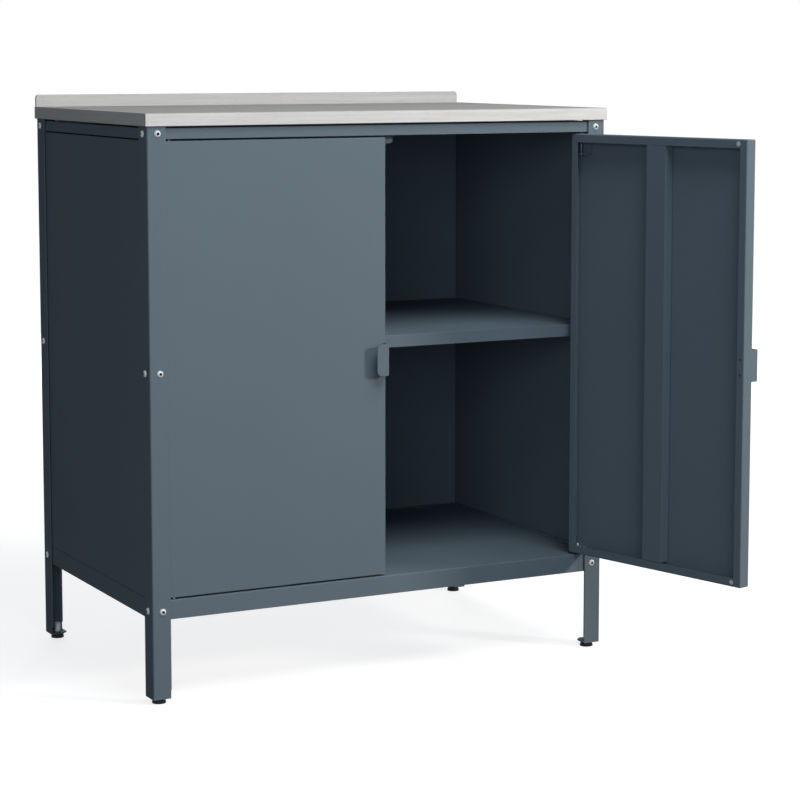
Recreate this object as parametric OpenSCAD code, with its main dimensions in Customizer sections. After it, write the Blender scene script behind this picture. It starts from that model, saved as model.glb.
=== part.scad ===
// Two-door steel storage cabinet with a laminate worktop, on four levelling feet.
// Millimetres. The origin is on the floor under the middle of the carcass, +Z up.
// The front faces -Y. The right door stands open and the left door is shut.

/* [Overall] */
// Width over the corner posts
cab_w = 800; // [600:1:1200]
// Depth over the corner posts
cab_d = 498; // [400:1:700]
// Height of the work surface above the floor
work_h = 900; // [750:1:1000]

/* [Worktop] */
// Thickness of the laminate board
top_t = 19.5; // [16:0.5:40]
// How far the board stands past the front posts
top_over_front = 3; // [0:0.5:20]
// How far the board stands past the side faces
top_over_side = 3; // [0:0.5:20]
// How far the board stands past the rear posts
top_over_rear = 2; // [0:0.5:20]
// Height of the rear upstand above the work surface
splash_h = 20; // [10:1:60]
// Thickness of the rear upstand
splash_t = 5; // [4:0.5:18]
// Radius of the upper corners of the upstand
splash_r = 5.5; // [2:0.5:10]

/* [Corner posts] */
// Sheet thickness of the posts
post_t = 1.2; // [1:0.1:1.4]
// Width of the front and rear flanges
post_front_w = 30.5; // [27:0.5:31]
// Width of the side flanges
post_side_w = 33.5; // [30:0.5:45]
// Outer radius of the corner bend
post_bend_r = 2.5; // [1.6:0.1:3.5]
// Thickness over the hem folded along each free edge
hem_t = 3; // [2.9:0.1:3.6]
// Width of the hem
hem_w = 6; // [4:0.5:8]
// Height at the foot where the flange has no hem
foot_step_h = 13.5; // [10:0.5:30]
// How much narrower the flange is there
foot_step_in = 1.2; // [0.5:0.1:3]

/* [Feet] */
// Gap between floor and post with the feet wound in
leg_clear = 8.5; // [8:0.5:14]
// Distance of a foot from the side face
foot_in_x = 15.5; // [14:0.5:18]
// Distance of a foot from the front or rear face
foot_in_y = 16.5; // [14:0.5:20]
// Diameter of the foot's base
pad_d = 21.6; // [18:0.2:26]
// Height of the foot's wide base
pad_base_h = 3.8; // [3:0.1:4.5]
// Radius of the base's lower edge
pad_round = 0.4; // [0.3:0.1:0.5]
// Diameter of the foot above its base
pad_neck_d = 20; // [15:0.2:20.6]
// Diameter of the threaded stem
stem_d = 8; // [6:0.5:8]
// Thickness of the plate welded in the foot of a post
foot_plate_t = 2; // [1.5:0.1:3]
// Chamfer on the free corner of that plate
foot_plate_chamfer = 9; // [4:0.5:12]
// Height of the threaded bush above that plate
foot_nut_h = 14.7; // [12:0.1:20]
// Outer diameter of the threaded bush
foot_nut_d = 10; // [9.6:0.1:12]

/* [Rails] */
// Distance of the rails and panels behind the faces of the posts
set_back = 3; // [3:0.1:3.6]
// Sheet thickness of rails, floor and shelf supports
rail_t = 1.2; // [1:0.1:1.5]
// Height of a top rail's face
top_rail_h = 16.3; // [16:0.1:40]
// Gap between the top rails and the worktop
top_rail_gap = 3; // [2:0.1:6]
// Depth of a top rail's upper flange
top_flange_d = 25; // [24:0.5:40]
// Depth of the front rail's lower flange
hinge_flange_d = 33; // [30:0.5:45]
// Height of the floor's surface above the foot of the posts
floor_up = 152.6; // [100:0.1:250]
// Height of the floor's rim
floor_rim_h = 30; // [24:0.5:60]

/* [Panels] */
// Sheet thickness of the side and back panels
panel_t = 0.8; // [0.6:0.1:1.2]
// Gap between the top rails and the panels
panel_gap = 2.2; // [2:0.1:8]
// Height of the tongue behind the top rail
tongue_h = 12.2; // [10:0.1:14]
// Depth of the foot flange of a panel
panel_foot_d = 12; // [10:0.5:20]

/* [Shelf] */
// Height of the shelf's surface above the foot of the posts
shelf_up = 534.9; // [300:0.1:640]
// Height of the shelf's rim
shelf_rim_h = 19.5; // [12:0.5:40]
// Sheet thickness of the shelf
shelf_t = 1; // [0.7:0.1:1.5]
// Distance of the shelf behind the front faces of the posts
shelf_back = 28; // [27.5:0.5:60]
// Height of a shelf support
support_h = 30; // [24:0.5:50]
// Depth of a shelf support's upper flange
support_flange_d = 20; // [12:0.5:40]

/* [Doors] */
// Sheet thickness of a door
door_sheet = 1; // [0.7:0.1:1.2]
// Thickness over a door's rim
door_t = 19.2; // [18:0.1:22]
// Gap between a door and the hems it shuts behind
door_play = 0.2; // [0.2:0.05:0.5]
// Gap above and below a door
door_gap = 3; // [2:0.1:5]
// Gap between the two doors
doors_gap = 2.8; // [1.5:0.1:5]
// Width of the inward flange round a door
door_return = 13.5; // [12:0.5:20]
// Width of the stiffener down the middle of a door
stiff_w = 40; // [20:1:80]
// Width of the stiffener's feet, which are folded in behind its face
stiff_foot_w = 8; // [5:0.5:9]
// How far the right door stands open
open_angle = 104.5; // [0:0.5:107]

/* [Hinge pins] */
// Distance of the pins from the side faces
pin_in = 38.5; // [38:0.1:40]
// Distance of the pins behind the front faces
pin_back = 8.5; // [8.3:0.1:8.7]
// Diameter of the pins
pin_d = 4; // [3:0.1:4.2]
// Distance from a pin to the door's hinge edge
pin_edge = 9; // [8:0.1:9.5]
// Running clearance round a pin, on the radius
pin_play = 0.05; // [0.02:0.01:0.1]
// Height of the upper hinge bracket
upper_bracket_h = 32; // [20:0.5:60]
// Height of the lower hinge bracket
lower_bracket_h = 9.5; // [8:0.5:12]
// Width of the hinge brackets
bracket_w = 28; // [18:1:60]
// Depth of the hinge brackets
bracket_d = 14; // [11:0.5:16]
// Sheet thickness of the hinge brackets
bracket_t = 1.4; // [1:0.1:1.6]
// Outer diameter of the nylon bushes
bush_d = 6.4; // [5.6:0.1:6.8]
// Diameter of the bushes' flanges
bush_flange_d = 8; // [7:0.1:9]
// Thickness of the bushes' flanges
bush_flange_t = 0.8; // [0.5:0.1:1.2]

/* [Handles] */
// Height of a handle
handle_h = 50; // [30:1:120]
// Height of the handles' middle above the floor
handle_z = 510; // [400:1:620]
// Width of the finger tab
handle_w = 20; // [14:0.5:30]
// How far the tab stands in front of the door
handle_out = 15; // [10:0.5:30]
// Sheet thickness of a handle
handle_t = 1.5; // [1:0.1:2]
// Radius of the tab's free corners
handle_r = 8; // [3:0.5:12]
// Width of the handle's foot inside the door
handle_foot_w = 11; // [10:0.5:12]
// Distance between a handle's two screws
handle_screw_gap = 25; // [15:1:30]

/* [Catch] */
// Width of the strike plate under the front rail
catch_w = 44; // [36:1:90]
// Height of the strike plate
catch_h = 13.5; // [10:0.5:20]
// Thickness of the strike plate
catch_t = 1.5; // [1:0.1:2]
// Chamfer of the strike plate's lower corners
catch_chamfer = 4; // [2:0.5:8]
// Diameter of a door magnet's face
magnet_d = 7.6; // [6:0.1:9]
// How far a magnet stands out of the door
magnet_out = 0.6; // [0.3:0.1:1]
// Distance of a magnet from the door's free edge
magnet_in = 17.6; // [16:0.1:24]
// Distance of a magnet from the door's top or bottom edge
magnet_up = 7; // [6.5:0.1:8]

/* [Fasteners] */
// Distance of the frame bolts from the corner of a post
bolt_in = 17; // [16:0.5:18]
// Height of the middle bolts above the foot of the posts
bolt_mid_up = 500.8; // [300:0.1:620]
// Height of the lower bolts above the floor rim's lower edge
bolt_low_in_rim = 13.5; // [11:0.5:15]
// Thread diameter of the frame bolts
bolt_d = 6; // [5:0.5:6]
// Length of the frame bolts
bolt_l = 10; // [8:1:10]
// Head diameter of the frame bolts
bolt_head_d = 10.5; // [9:0.1:12]
// Head height of the frame bolts
bolt_head_h = 3.3; // [2:0.1:4]
// Width across flats of the bolts' sockets
bolt_key = 4; // [3:0.5:5]
// Depth of the bolts' sockets
bolt_key_depth = 2; // [1:0.1:2.4]
// Outer diameter of a rivet nut
nut_d = 9; // [8:0.1:9]
// Length of a rivet nut behind the sheet
nut_l = 8; // [7:0.5:9]
// Diameter of a rivet nut's flange
nut_flange_d = 13; // [11:0.5:14]

/* [Hidden] */
$fn = 48;
// A cut runs this far past the faces it opens
cut = 1;
// Slack round a part that is fixed in its hole
fixed_play = 0.02;
// Slack between sheets that pass each other
sheet_play = 0.3;

// Colours
blue = [0.33, 0.39, 0.43];
zinc = [0.75, 0.76, 0.77];
black = [0.05, 0.05, 0.055];
board = [0.86, 0.85, 0.83];
nylon = [0.85, 0.85, 0.83];

// Heights above the floor
top_under = work_h - top_t;
post_h = top_under - leg_clear;
rail_top = top_under - top_rail_gap;
rail_bottom = rail_top - top_rail_h;
floor_z = leg_clear + floor_up;
floor_rim_z = floor_z - floor_rim_h;
panel_bottom = floor_z + sheet_play;
panel_top = rail_bottom - panel_gap;
shelf_z = leg_clear + shelf_up;
support_top = shelf_z - shelf_rim_h;
door_bottom = floor_z + door_gap;
door_top = rail_bottom - door_gap;
door_h = door_top - door_bottom;

// Bolt heights
bolt_top_z = rail_bottom + top_rail_h / 2;
bolt_mid_z = leg_clear + bolt_mid_up;
bolt_low_z = floor_rim_z + bolt_low_in_rim;
bolt_levels = [bolt_top_z, bolt_mid_z, bolt_low_z];
bolt_play = 0.3;

// Inner half width and half depth between the panels' outer faces
half_w = cab_w / 2 - set_back;
half_d = cab_d / 2 - set_back;

// Doors, in a frame whose Z axis is the hinge pin, +X to the free edge and +Y inwards
pin_x = cab_w / 2 - pin_in;
pin_y = -cab_d / 2 + pin_back;
door_w = pin_x + pin_edge - doors_gap / 2;
hinge_x = -pin_edge;
free_x = door_w - pin_edge;
skin_y = set_back + door_play - pin_back;
rim_y = skin_y + door_t;
free_in_x = free_x - door_sheet;
skin_in_y = skin_y + door_sheet;
rim_in_y = rim_y - door_sheet;

// The shape is the same at each of the four corners: x and y run inwards from the corner
module corner(sx, sy) {
    translate([sx * cab_w / 2, sy * cab_d / 2, 0])
        mirror([sx > 0 ? 1 : 0, 0, 0])
            mirror([0, sy > 0 ? 1 : 0, 0])
                children();
}

module each_corner() {
    for (sx = [-1, 1], sy = [-1, 1]) corner(sx, sy) children();
}

// A box between two opposite corners
module block(lo, hi) {
    translate(lo) cube(hi - lo);
}

// Turns a shape that stands on z = 0 so that it points out of the front, or out of the side
module out_front() {
    rotate([90, 0, 0]) children();
}

module out_side() {
    rotate([0, -90, 0]) children();
}

// Corner posts
module post_section(front_w, side_w) {
    translate([post_bend_r, 0]) square([front_w - post_bend_r, post_t]);
    translate([0, post_bend_r]) square([post_t, side_w - post_bend_r]);
    intersection() {
        translate([post_bend_r, post_bend_r]) difference() {
            circle(post_bend_r);
            circle(post_bend_r - post_t);
        }
        square(post_bend_r);
    }
}

module hem(flange_w) {
    r = hem_t / 2;
    translate([flange_w - r, r]) intersection() {
        difference() {
            circle(r);
            circle(r - post_t);
        }
        translate([0, -r]) square([r, hem_t]);
    }
    translate([flange_w - hem_w, hem_t - post_t]) square([hem_w - r, post_t]);
}

module post(sx, sy) {
    r = hem_t / 2;
    color(blue) corner(sx, sy) difference() {
        union() {
            translate([0, 0, leg_clear + foot_step_h]) linear_extrude(post_h - foot_step_h) {
                post_section(post_front_w - r, post_side_w - r);
                hem(post_front_w);
                mirror([1, -1]) hem(post_side_w);
            }
            translate([0, 0, leg_clear]) linear_extrude(foot_step_h)
                post_section(post_front_w - foot_step_in, post_side_w - foot_step_in);
        }
        for (z = bolt_levels) bolt_hole_pair(z, bolt_d / 2 + bolt_play);
    }
}

// A hole through the front and one through the side, at the bolts' place
module bolt_hole_pair(z, r) {
    translate([bolt_in, 0, z]) out_front() cylinder(r = r, h = 2 * nut_flange_d, center = true);
    translate([0, bolt_in, z]) out_side() cylinder(r = r, h = 2 * nut_flange_d, center = true);
}

module nut_holes(z) {
    each_corner() bolt_hole_pair(z, nut_d / 2 + fixed_play);
}

// Feet
module foot_plates() {
    color(blue) each_corner() translate([0, 0, leg_clear]) difference() {
        linear_extrude(foot_plate_t) {
            x = post_front_w - foot_step_in;
            y = post_side_w - foot_step_in;
            c = foot_plate_chamfer;
            polygon([[post_t, post_t], [x, post_t], [x, y - c], [x - c, y], [post_t, y]]);
        }
        translate([foot_in_x, foot_in_y, -cut])
            cylinder(d = stem_d + 2 * bolt_play, h = foot_plate_t + 2 * cut);
    }
}

module foot_nuts() {
    color(zinc) each_corner()
        translate([foot_in_x, foot_in_y, leg_clear + foot_plate_t]) difference() {
            cylinder(d = foot_nut_d, h = foot_nut_h);
            translate([0, 0, -cut]) cylinder(r = stem_d / 2 + pin_play, h = foot_nut_h + 2 * cut);
        }
}

// The stems stand this deep in the feet's bases and end this far below the tops of their bushes
stem_socket = 1;
stem_below = 1;
foot_socket_z = pad_base_h - stem_socket;
pad_h = leg_clear - sheet_play;

module foot_stem(sx, sy) {
    color(zinc) corner(sx, sy) translate([foot_in_x, foot_in_y, foot_socket_z])
        cylinder(d = stem_d, h = leg_clear + foot_plate_t + foot_nut_h - stem_below - foot_socket_z);
}

module foot_pad(sx, sy) {
    r = pad_d / 2;
    color(black) corner(sx, sy) translate([foot_in_x, foot_in_y, 0]) difference() {
        rotate_extrude() {
            square([r - pad_round, pad_base_h]);
            translate([0, pad_round]) square([r, pad_base_h - pad_round]);
            translate([r - pad_round, pad_round]) intersection() {
                circle(pad_round);
                translate([0, -pad_round]) square(pad_round);
            }
            square([pad_neck_d / 2, pad_h]);
        }
        translate([0, 0, foot_socket_z]) cylinder(r = stem_d / 2 + fixed_play, h = pad_h);
    }
}

// Top rails
rail_len_half = half_w - rail_t - sheet_play;
side_flange_half = half_d - top_flange_d - sheet_play;
screw_in = set_back + top_flange_d / 2;

module top_rail_face(half_len, y_out, flange_half) {
    block([-half_len, y_out, rail_bottom], [half_len, y_out + rail_t, rail_top]);
    block([-flange_half, y_out, rail_top - rail_t], [flange_half, y_out + top_flange_d, rail_top]);
}

module top_rail_front() {
    color(blue) difference() {
        union() {
            top_rail_face(rail_len_half, -half_d, rail_len_half);
            block([-rail_len_half, -half_d, rail_bottom],
                  [rail_len_half, -half_d + hinge_flange_d - set_back, rail_bottom + rail_t]);
        }
        nut_holes(bolt_top_z);
        for (s = [-1, 1]) translate([s * pin_x, pin_y, rail_bottom - cut])
            cylinder(r = bush_d / 2 + fixed_play, h = rail_t + 2 * cut);
    }
}

module top_rail_rear() {
    color(blue) difference() {
        mirror([0, 1, 0]) top_rail_face(rail_len_half, -half_d, rail_len_half);
        nut_holes(bolt_top_z);
    }
}

module top_rail_side(s) {
    color(blue) difference() {
        rotate([0, 0, s * 90]) top_rail_face(half_d, -half_w, side_flange_half);
        nut_holes(bolt_top_z);
        each_worktop_screw() translate([0, 0, rail_top - rail_t - cut])
            cylinder(r = screw_r + bolt_play, h = rail_t + 2 * cut);
    }
}

// Floor, with its rim folded down on all four sides
module floor_panel() {
    color(blue) difference() {
        block([-half_w, -half_d, floor_rim_z], [half_w, half_d, floor_z]);
        block([rail_t - half_w, rail_t - half_d, floor_rim_z - cut],
              [half_w - rail_t, half_d - rail_t, floor_z - rail_t]);
        nut_holes(bolt_low_z);
        for (s = [-1, 1]) translate([s * pin_x, pin_y, floor_z - rail_t - cut])
            cylinder(r = bush_d / 2 + fixed_play, h = rail_t + 2 * cut);
        each_panel_screw() translate([0, 0, floor_z - rail_t - cut])
            cylinder(r = panel_screw_r + fixed_play, h = rail_t + 2 * cut);
    }
}

// Side and back panels: a face, a foot on the floor and a tongue behind the top rail
tongue_clear = nut_flange_d + bolt_in;

module panel(half_len, y_out) {
    tongue_half = half_len - tongue_clear;
    y_tongue = y_out + rail_t + sheet_play / 2;
    block([-half_len, y_out, panel_bottom], [half_len, y_out + panel_t, panel_top]);
    block([-tongue_half, y_out, panel_bottom],
          [tongue_half, y_out + panel_foot_d, panel_bottom + panel_t]);
    block([-tongue_half, y_out, panel_top - panel_t],
          [tongue_half, y_tongue + panel_t, panel_top]);
    block([-tongue_half, y_tongue, panel_top - panel_t],
          [tongue_half, y_tongue + panel_t, panel_top + tongue_h]);
}

module side_panel(s) {
    color(blue) difference() {
        rotate([0, 0, s * 90]) panel(half_d, -half_w);
        nut_holes(bolt_mid_z);
        each_panel_screw() translate([0, 0, panel_bottom - cut])
            cylinder(r = panel_screw_r + fixed_play, h = panel_t + 2 * cut);
    }
}

module back_panel() {
    color(blue) difference() {
        mirror([0, 1, 0]) panel(rail_len_half, -half_d);
        nut_holes(bolt_mid_z);
        each_panel_screw() translate([0, 0, panel_bottom - cut])
            cylinder(r = panel_screw_r + fixed_play, h = panel_t + 2 * cut);
    }
}

// Shelf and its two supports
support_x = half_w - panel_t;
support_rear = half_d - panel_t;
shelf_half = support_x - rail_t - sheet_play;

module shelf() {
    front = shelf_back - cab_d / 2;
    rear = support_rear - rail_t - sheet_play;
    color(blue) difference() {
        block([-shelf_half, front, support_top], [shelf_half, rear, shelf_z]);
        block([shelf_t - shelf_half, front + shelf_t, support_top - cut],
              [shelf_half - shelf_t, rear - shelf_t, shelf_z - shelf_t]);
    }
}

module shelf_support(s) {
    low = support_top - support_h;
    tab_x = cab_w / 2 - post_front_w + hem_w / 2;
    color(blue) difference() {
        mirror([s > 0 ? 1 : 0, 0, 0]) {
            block([-support_x, -half_d, low], [rail_t - support_x, support_rear, support_top]);
            block([-support_x, -half_d, low], [-tab_x, rail_t - half_d, support_top]);
            block([-support_x, support_rear - rail_t, low], [-tab_x, support_rear, support_top]);
            block([-support_x, shelf_back - cab_d / 2, support_top - rail_t],
                  [support_flange_d - support_x, support_rear, support_top]);
        }
        nut_holes(bolt_mid_z);
    }
}

// Worktop, with blind holes for the screws that hold it
screw_r = 2.2;
screw_head_r = 4.4;
screw_head_h = 2.4;
screw_bite = 13;
// A blind hole runs this far past its screw
hole_spare = 1;
spacer_r = 5.4;
worktop_screws_a_side = 3;
splash_screws = 5;
splash_screw_z = top_under + top_t / 2;
worktop_rear = cab_d / 2 + top_over_rear;

module each_worktop_screw() {
    span = cab_d - 2 * (tongue_clear + set_back);
    for (s = [-1, 1], i = [0 : worktop_screws_a_side - 1])
        translate([s * (cab_w / 2 - screw_in), (i / (worktop_screws_a_side - 1) - 0.5) * span, 0])
            children();
}

module each_splash_screw() {
    span = cab_w - 2 * tongue_clear;
    for (i = [0 : splash_screws - 1])
        translate([(i / (splash_screws - 1) - 0.5) * span, 0, splash_screw_z]) children();
}

module worktop() {
    color(board) difference() {
        block([-cab_w / 2 - top_over_side, -cab_d / 2 - top_over_front, top_under],
              [cab_w / 2 + top_over_side, worktop_rear, work_h]);
        each_worktop_screw() translate([0, 0, top_under - cut])
            cylinder(r = screw_r + fixed_play, h = cut + screw_bite + hole_spare);
        each_splash_screw() translate([0, worktop_rear + cut, 0]) out_front()
            cylinder(r = screw_r + fixed_play, h = cut + screw_bite + hole_spare);
    }
}

module worktop_screws() {
    color(zinc) each_worktop_screw() {
        translate([0, 0, rail_top - rail_t - screw_head_h]) cylinder(r = screw_head_r, h = screw_head_h);
        translate([0, 0, rail_top - rail_t])
            cylinder(r = screw_r, h = rail_t + top_rail_gap + screw_bite);
    }
}

module worktop_spacers() {
    color(nylon) each_worktop_screw() translate([0, 0, rail_top]) difference() {
        cylinder(r = spacer_r, h = top_rail_gap);
        translate([0, 0, -cut]) cylinder(r = screw_r + bolt_play, h = top_rail_gap + 2 * cut);
    }
}

// Rear upstand, screwed to the rear edge of the board
module backsplash() {
    h = top_t + splash_h;
    color(board) difference() {
        translate([0, worktop_rear + splash_t, top_under]) out_front() linear_extrude(splash_t) {
            translate([-cab_w / 2, 0]) square([cab_w, h - splash_r]);
            translate([splash_r - cab_w / 2, 0]) square([cab_w - 2 * splash_r, h]);
            for (s = [-1, 1]) translate([s * (cab_w / 2 - splash_r), h - splash_r]) circle(splash_r);
        }
        each_splash_screw() translate([0, worktop_rear + splash_t + cut, 0]) out_front()
            cylinder(r = screw_r + fixed_play, h = splash_t + 2 * cut);
    }
}

module backsplash_screws() {
    color(zinc) each_splash_screw() translate([0, worktop_rear + splash_t, 0]) {
        out_front() cylinder(r = screw_r, h = splash_t + screw_bite);
        mirror([0, 1, 0]) out_front() cylinder(r = screw_head_r, h = screw_head_h);
    }
}

// Frame bolts, each in a rivet nut whose flange seats on the sheet behind the post
module bolt() {
    dome_r = (pow(bolt_head_d / 2, 2) + pow(bolt_head_h, 2)) / (2 * bolt_head_h);
    difference() {
        rotate_extrude() intersection() {
            translate([0, bolt_head_h - dome_r]) circle(dome_r);
            square([bolt_head_d, bolt_head_h]);
        }
        translate([0, 0, bolt_head_h - bolt_key_depth])
            cylinder(d = bolt_key / cos(30), h = bolt_key_depth + cut, $fn = 6);
    }
    translate([0, 0, -bolt_l]) cylinder(r = bolt_d / 2 - fixed_play, h = bolt_l);
}

module rivet_nut() {
    translate([0, 0, -set_back]) difference() {
        union() {
            cylinder(d = nut_flange_d, h = set_back - post_t);
            translate([0, 0, -nut_l]) cylinder(d = nut_d, h = nut_l + fixed_play);
        }
        translate([0, 0, -nut_l - cut]) cylinder(d = bolt_d, h = nut_l + set_back + 2 * cut);
    }
}

module each_bolt(z) {
    each_corner() {
        translate([bolt_in, 0, z]) out_front() children();
        translate([0, bolt_in, z]) out_side() children();
    }
}

module bolts(z) {
    color(zinc) each_bolt(z) bolt();
}

module nuts(z) {
    color(zinc) each_bolt(z) rivet_nut();
}

// Screws that hold the feet of the panels to the floor
panel_screw_r = 1.9;
panel_screw_head_r = 3.6;
panel_screw_head_h = 1.8;
panel_screw_l = 8;

module each_panel_screw() {
    in = set_back + panel_foot_d / 2 + panel_t;
    for (s = [-1, 1], t = [-1, 1])
        translate([s * (cab_w / 2 - in), t * (half_d / 2), 0]) children();
    for (s = [-1, 0, 1])
        translate([s * half_w / 2, cab_d / 2 - in, 0]) children();
}

module panel_screws() {
    color(black) each_panel_screw() translate([0, 0, panel_bottom + panel_t]) {
        cylinder(r = panel_screw_head_r, h = panel_screw_head_h);
        translate([0, 0, -panel_screw_l]) cylinder(r = panel_screw_r, h = panel_screw_l);
    }
}

// Strike plate that both doors' upper magnets meet
module catch_plate() {
    front = pin_y + rim_y + magnet_out + sheet_play;
    color(blue) {
        translate([0, front + catch_t, rail_bottom]) out_front() linear_extrude(catch_t) {
            w = catch_w / 2;
            c = catch_chamfer;
            polygon([[-w, 0], [-w, c - catch_h], [c - w, -catch_h], [w - c, -catch_h],
                     [w, c - catch_h], [w, 0]]);
        }
        block([-catch_w / 2, front, rail_bottom - catch_t],
              [catch_w / 2, hinge_flange_d - cab_d / 2, rail_bottom]);
    }
}

// Nylon bushes: the upper pair is open, and the lower pair are cups that carry the pins
cup_h = 7;
cup_floor = 1;
// The upper bushes stand this far out of the rail
bush_up = 1;

module hinge_bushes() {
    bore = pin_d / 2 + pin_play;
    color(nylon) for (s = [-1, 1]) translate([s * pin_x, pin_y, 0]) {
        translate([0, 0, rail_bottom]) difference() {
            union() {
                translate([0, 0, -bush_flange_t]) cylinder(d = bush_flange_d, h = bush_flange_t);
                cylinder(d = bush_d, h = rail_t + bush_up);
            }
            translate([0, 0, -bush_flange_t - cut])
                cylinder(r = bore, h = bush_flange_t + rail_t + bush_up + 2 * cut);
        }
        translate([0, 0, floor_z]) difference() {
            union() {
                cylinder(d = bush_flange_d, h = bush_flange_t);
                translate([0, 0, -cup_h]) cylinder(d = bush_d, h = cup_h);
            }
            translate([0, 0, cup_floor - cup_h]) cylinder(r = bore, h = cup_h + bush_flange_t);
        }
    }
}

// Doors
module door_frame(s) {
    translate([s * pin_x, pin_y, 0])
        rotate([0, 0, s > 0 ? open_angle : 0])
            mirror([s > 0 ? 1 : 0, 0, 0])
                children();
}

handle_x = free_in_x - handle_t;
magnet_x = free_x - magnet_in;
magnet_rim = 0.6;
magnet_r = magnet_d / 2 - magnet_rim;
handle_screw_r = 1.5;
handle_screw_head_r = 2.5;
handle_screw_head_h = 1;
handle_screw_x = handle_x - handle_foot_w / 2 + handle_t;
// The handles' screws and the magnets reach this far past the sheets that they hold
tail_out = 1;

module each_magnet() {
    for (z = [door_bottom + magnet_up, door_top - magnet_up])
        translate([magnet_x, rim_y, z]) rotate([-90, 0, 0]) children();
}

module each_handle_screw() {
    for (t = [-1, 1])
        translate([handle_screw_x, rim_y, handle_z + t * handle_screw_gap / 2])
            rotate([-90, 0, 0]) children();
}

module handle_screw_holes() {
    each_handle_screw() cylinder(r = handle_screw_r + fixed_play,
                                 h = 2 * (door_sheet + handle_t + cut), center = true);
}

module door_pan(s) {
    color(blue) door_frame(s) difference() {
        block([hinge_x, skin_y, door_bottom], [free_x, rim_y, door_top]);
        block([hinge_x + door_sheet, skin_in_y, door_bottom + door_sheet],
              [free_in_x, rim_in_y, door_top - door_sheet]);
        block([hinge_x + door_return, rim_in_y - cut, door_bottom + door_return],
              [free_x - door_return, rim_y + cut, door_top - door_return]);
        translate([0, 0, door_bottom - cut]) cylinder(r = pin_d / 2 + fixed_play, h = door_h + 2 * cut);
        block([handle_x - sheet_play, skin_y - cut, handle_z - handle_h / 2 - sheet_play],
              [free_in_x, skin_in_y + cut, handle_z + handle_h / 2 + sheet_play]);
        each_magnet()
            cylinder(r = magnet_r + fixed_play, h = 2 * (door_sheet + cut), center = true);
        handle_screw_holes();
    }
}

// Channel spot-welded to the inside of the skin, with its feet folded in
module door_stiffener(s) {
    mid = (hinge_x + free_x) / 2;
    low = door_bottom + door_return + sheet_play;
    high = door_top - door_return - sheet_play;
    t = door_sheet;
    color(blue) door_frame(s) {
        difference() {
            block([mid - stiff_w / 2, skin_in_y, low], [mid + stiff_w / 2, rim_y, high]);
            block([mid - stiff_w / 2 + t, skin_in_y - cut, low - cut],
                  [mid + stiff_w / 2 - t, rim_in_y, high + cut]);
        }
        for (side = [-1, 1]) translate([mid + side * (stiff_w - stiff_foot_w) / 2, 0, 0])
            block([-stiff_foot_w / 2, skin_in_y, low], [stiff_foot_w / 2, skin_in_y + t, high]);
    }
}

// Folded handle: a foot behind the rim, a web through the slot in the skin, and a finger tab
module handle(s) {
    x_in = free_in_x;
    tab_y = skin_y - handle_out;
    z0 = handle_z - handle_h / 2;
    z1 = handle_z + handle_h / 2;
    color(blue) door_frame(s) difference() {
        union() {
            block([handle_x, tab_y, z0], [x_in, rim_in_y, z1]);
            block([x_in - handle_foot_w, rim_in_y - handle_t, z0], [x_in, rim_in_y, z1]);
            translate([x_in - handle_w, tab_y + handle_t, handle_z]) out_front()
                linear_extrude(handle_t) {
                    translate([handle_r, -handle_h / 2]) square([handle_w - handle_r, handle_h]);
                    translate([0, handle_r - handle_h / 2]) square([handle_r, handle_h - 2 * handle_r]);
                    for (t = [-1, 1]) translate([handle_r, t * (handle_h / 2 - handle_r)]) circle(handle_r);
                }
        }
        handle_screw_holes();
    }
}

module handle_screws(s) {
    color(black) door_frame(s) each_handle_screw() {
        cylinder(r = handle_screw_head_r, h = handle_screw_head_h);
        mirror([0, 0, 1]) cylinder(r = handle_screw_r, h = door_sheet + handle_t + tail_out);
    }
}

module magnets(s) {
    color(nylon) door_frame(s) each_magnet() {
        cylinder(d = magnet_d, h = magnet_out);
        mirror([0, 0, 1]) cylinder(r = magnet_r, h = door_sheet + tail_out);
    }
}

// Hinge brackets: two plates on a back welded to the skin, in the corner of the door
module bracket(z_low, z_high) {
    x0 = hinge_x + door_sheet;
    y1 = skin_in_y + bracket_d;
    difference() {
        union() {
            block([x0, skin_in_y, z_low], [x0 + bracket_w, skin_in_y + bracket_t, z_high]);
            for (z = [z_low, z_high - bracket_t])
                block([x0, skin_in_y, z], [x0 + bracket_w, y1, z + bracket_t]);
        }
        translate([0, 0, z_low - cut])
            cylinder(r = pin_d / 2 + fixed_play, h = z_high - z_low + 2 * cut);
    }
}

upper_bracket_top = door_top - door_sheet;
upper_bracket_low = upper_bracket_top - upper_bracket_h;
lower_bracket_low = door_bottom + door_sheet;
lower_bracket_top = lower_bracket_low + lower_bracket_h;
clip_h = 0.8;
clip_r = 4;
// The upper pins stand out this far below their brackets and above the rail, and the lower pins
// this far above theirs
upper_pin_tail = 4;
upper_pin_tip = 2;
lower_pin_tail = 3.5;
upper_pin_low = upper_bracket_low - upper_pin_tail;
lower_pin_top = lower_bracket_top + lower_pin_tail;

module upper_bracket(s) {
    color(blue) door_frame(s) bracket(upper_bracket_low, upper_bracket_top);
}

module lower_bracket(s) {
    color(blue) door_frame(s) bracket(lower_bracket_low, lower_bracket_top);
}

module upper_pin(s) {
    color(zinc) door_frame(s) translate([0, 0, upper_pin_low])
        cylinder(d = pin_d, h = rail_bottom + rail_t + upper_pin_tip - upper_pin_low);
}

module lower_pin(s) {
    foot = floor_z - cup_h + cup_floor + pin_play;
    color(zinc) door_frame(s) translate([0, 0, foot]) cylinder(d = pin_d, h = lower_pin_top - foot);
}

module pin_clip(s) {
    color(zinc) door_frame(s) translate([0, 0, upper_bracket_low - clip_h]) difference() {
        cylinder(r = clip_r, h = clip_h);
        translate([0, 0, -cut]) cylinder(r = pin_d / 2 + fixed_play, h = clip_h + 2 * cut);
    }
}

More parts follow.
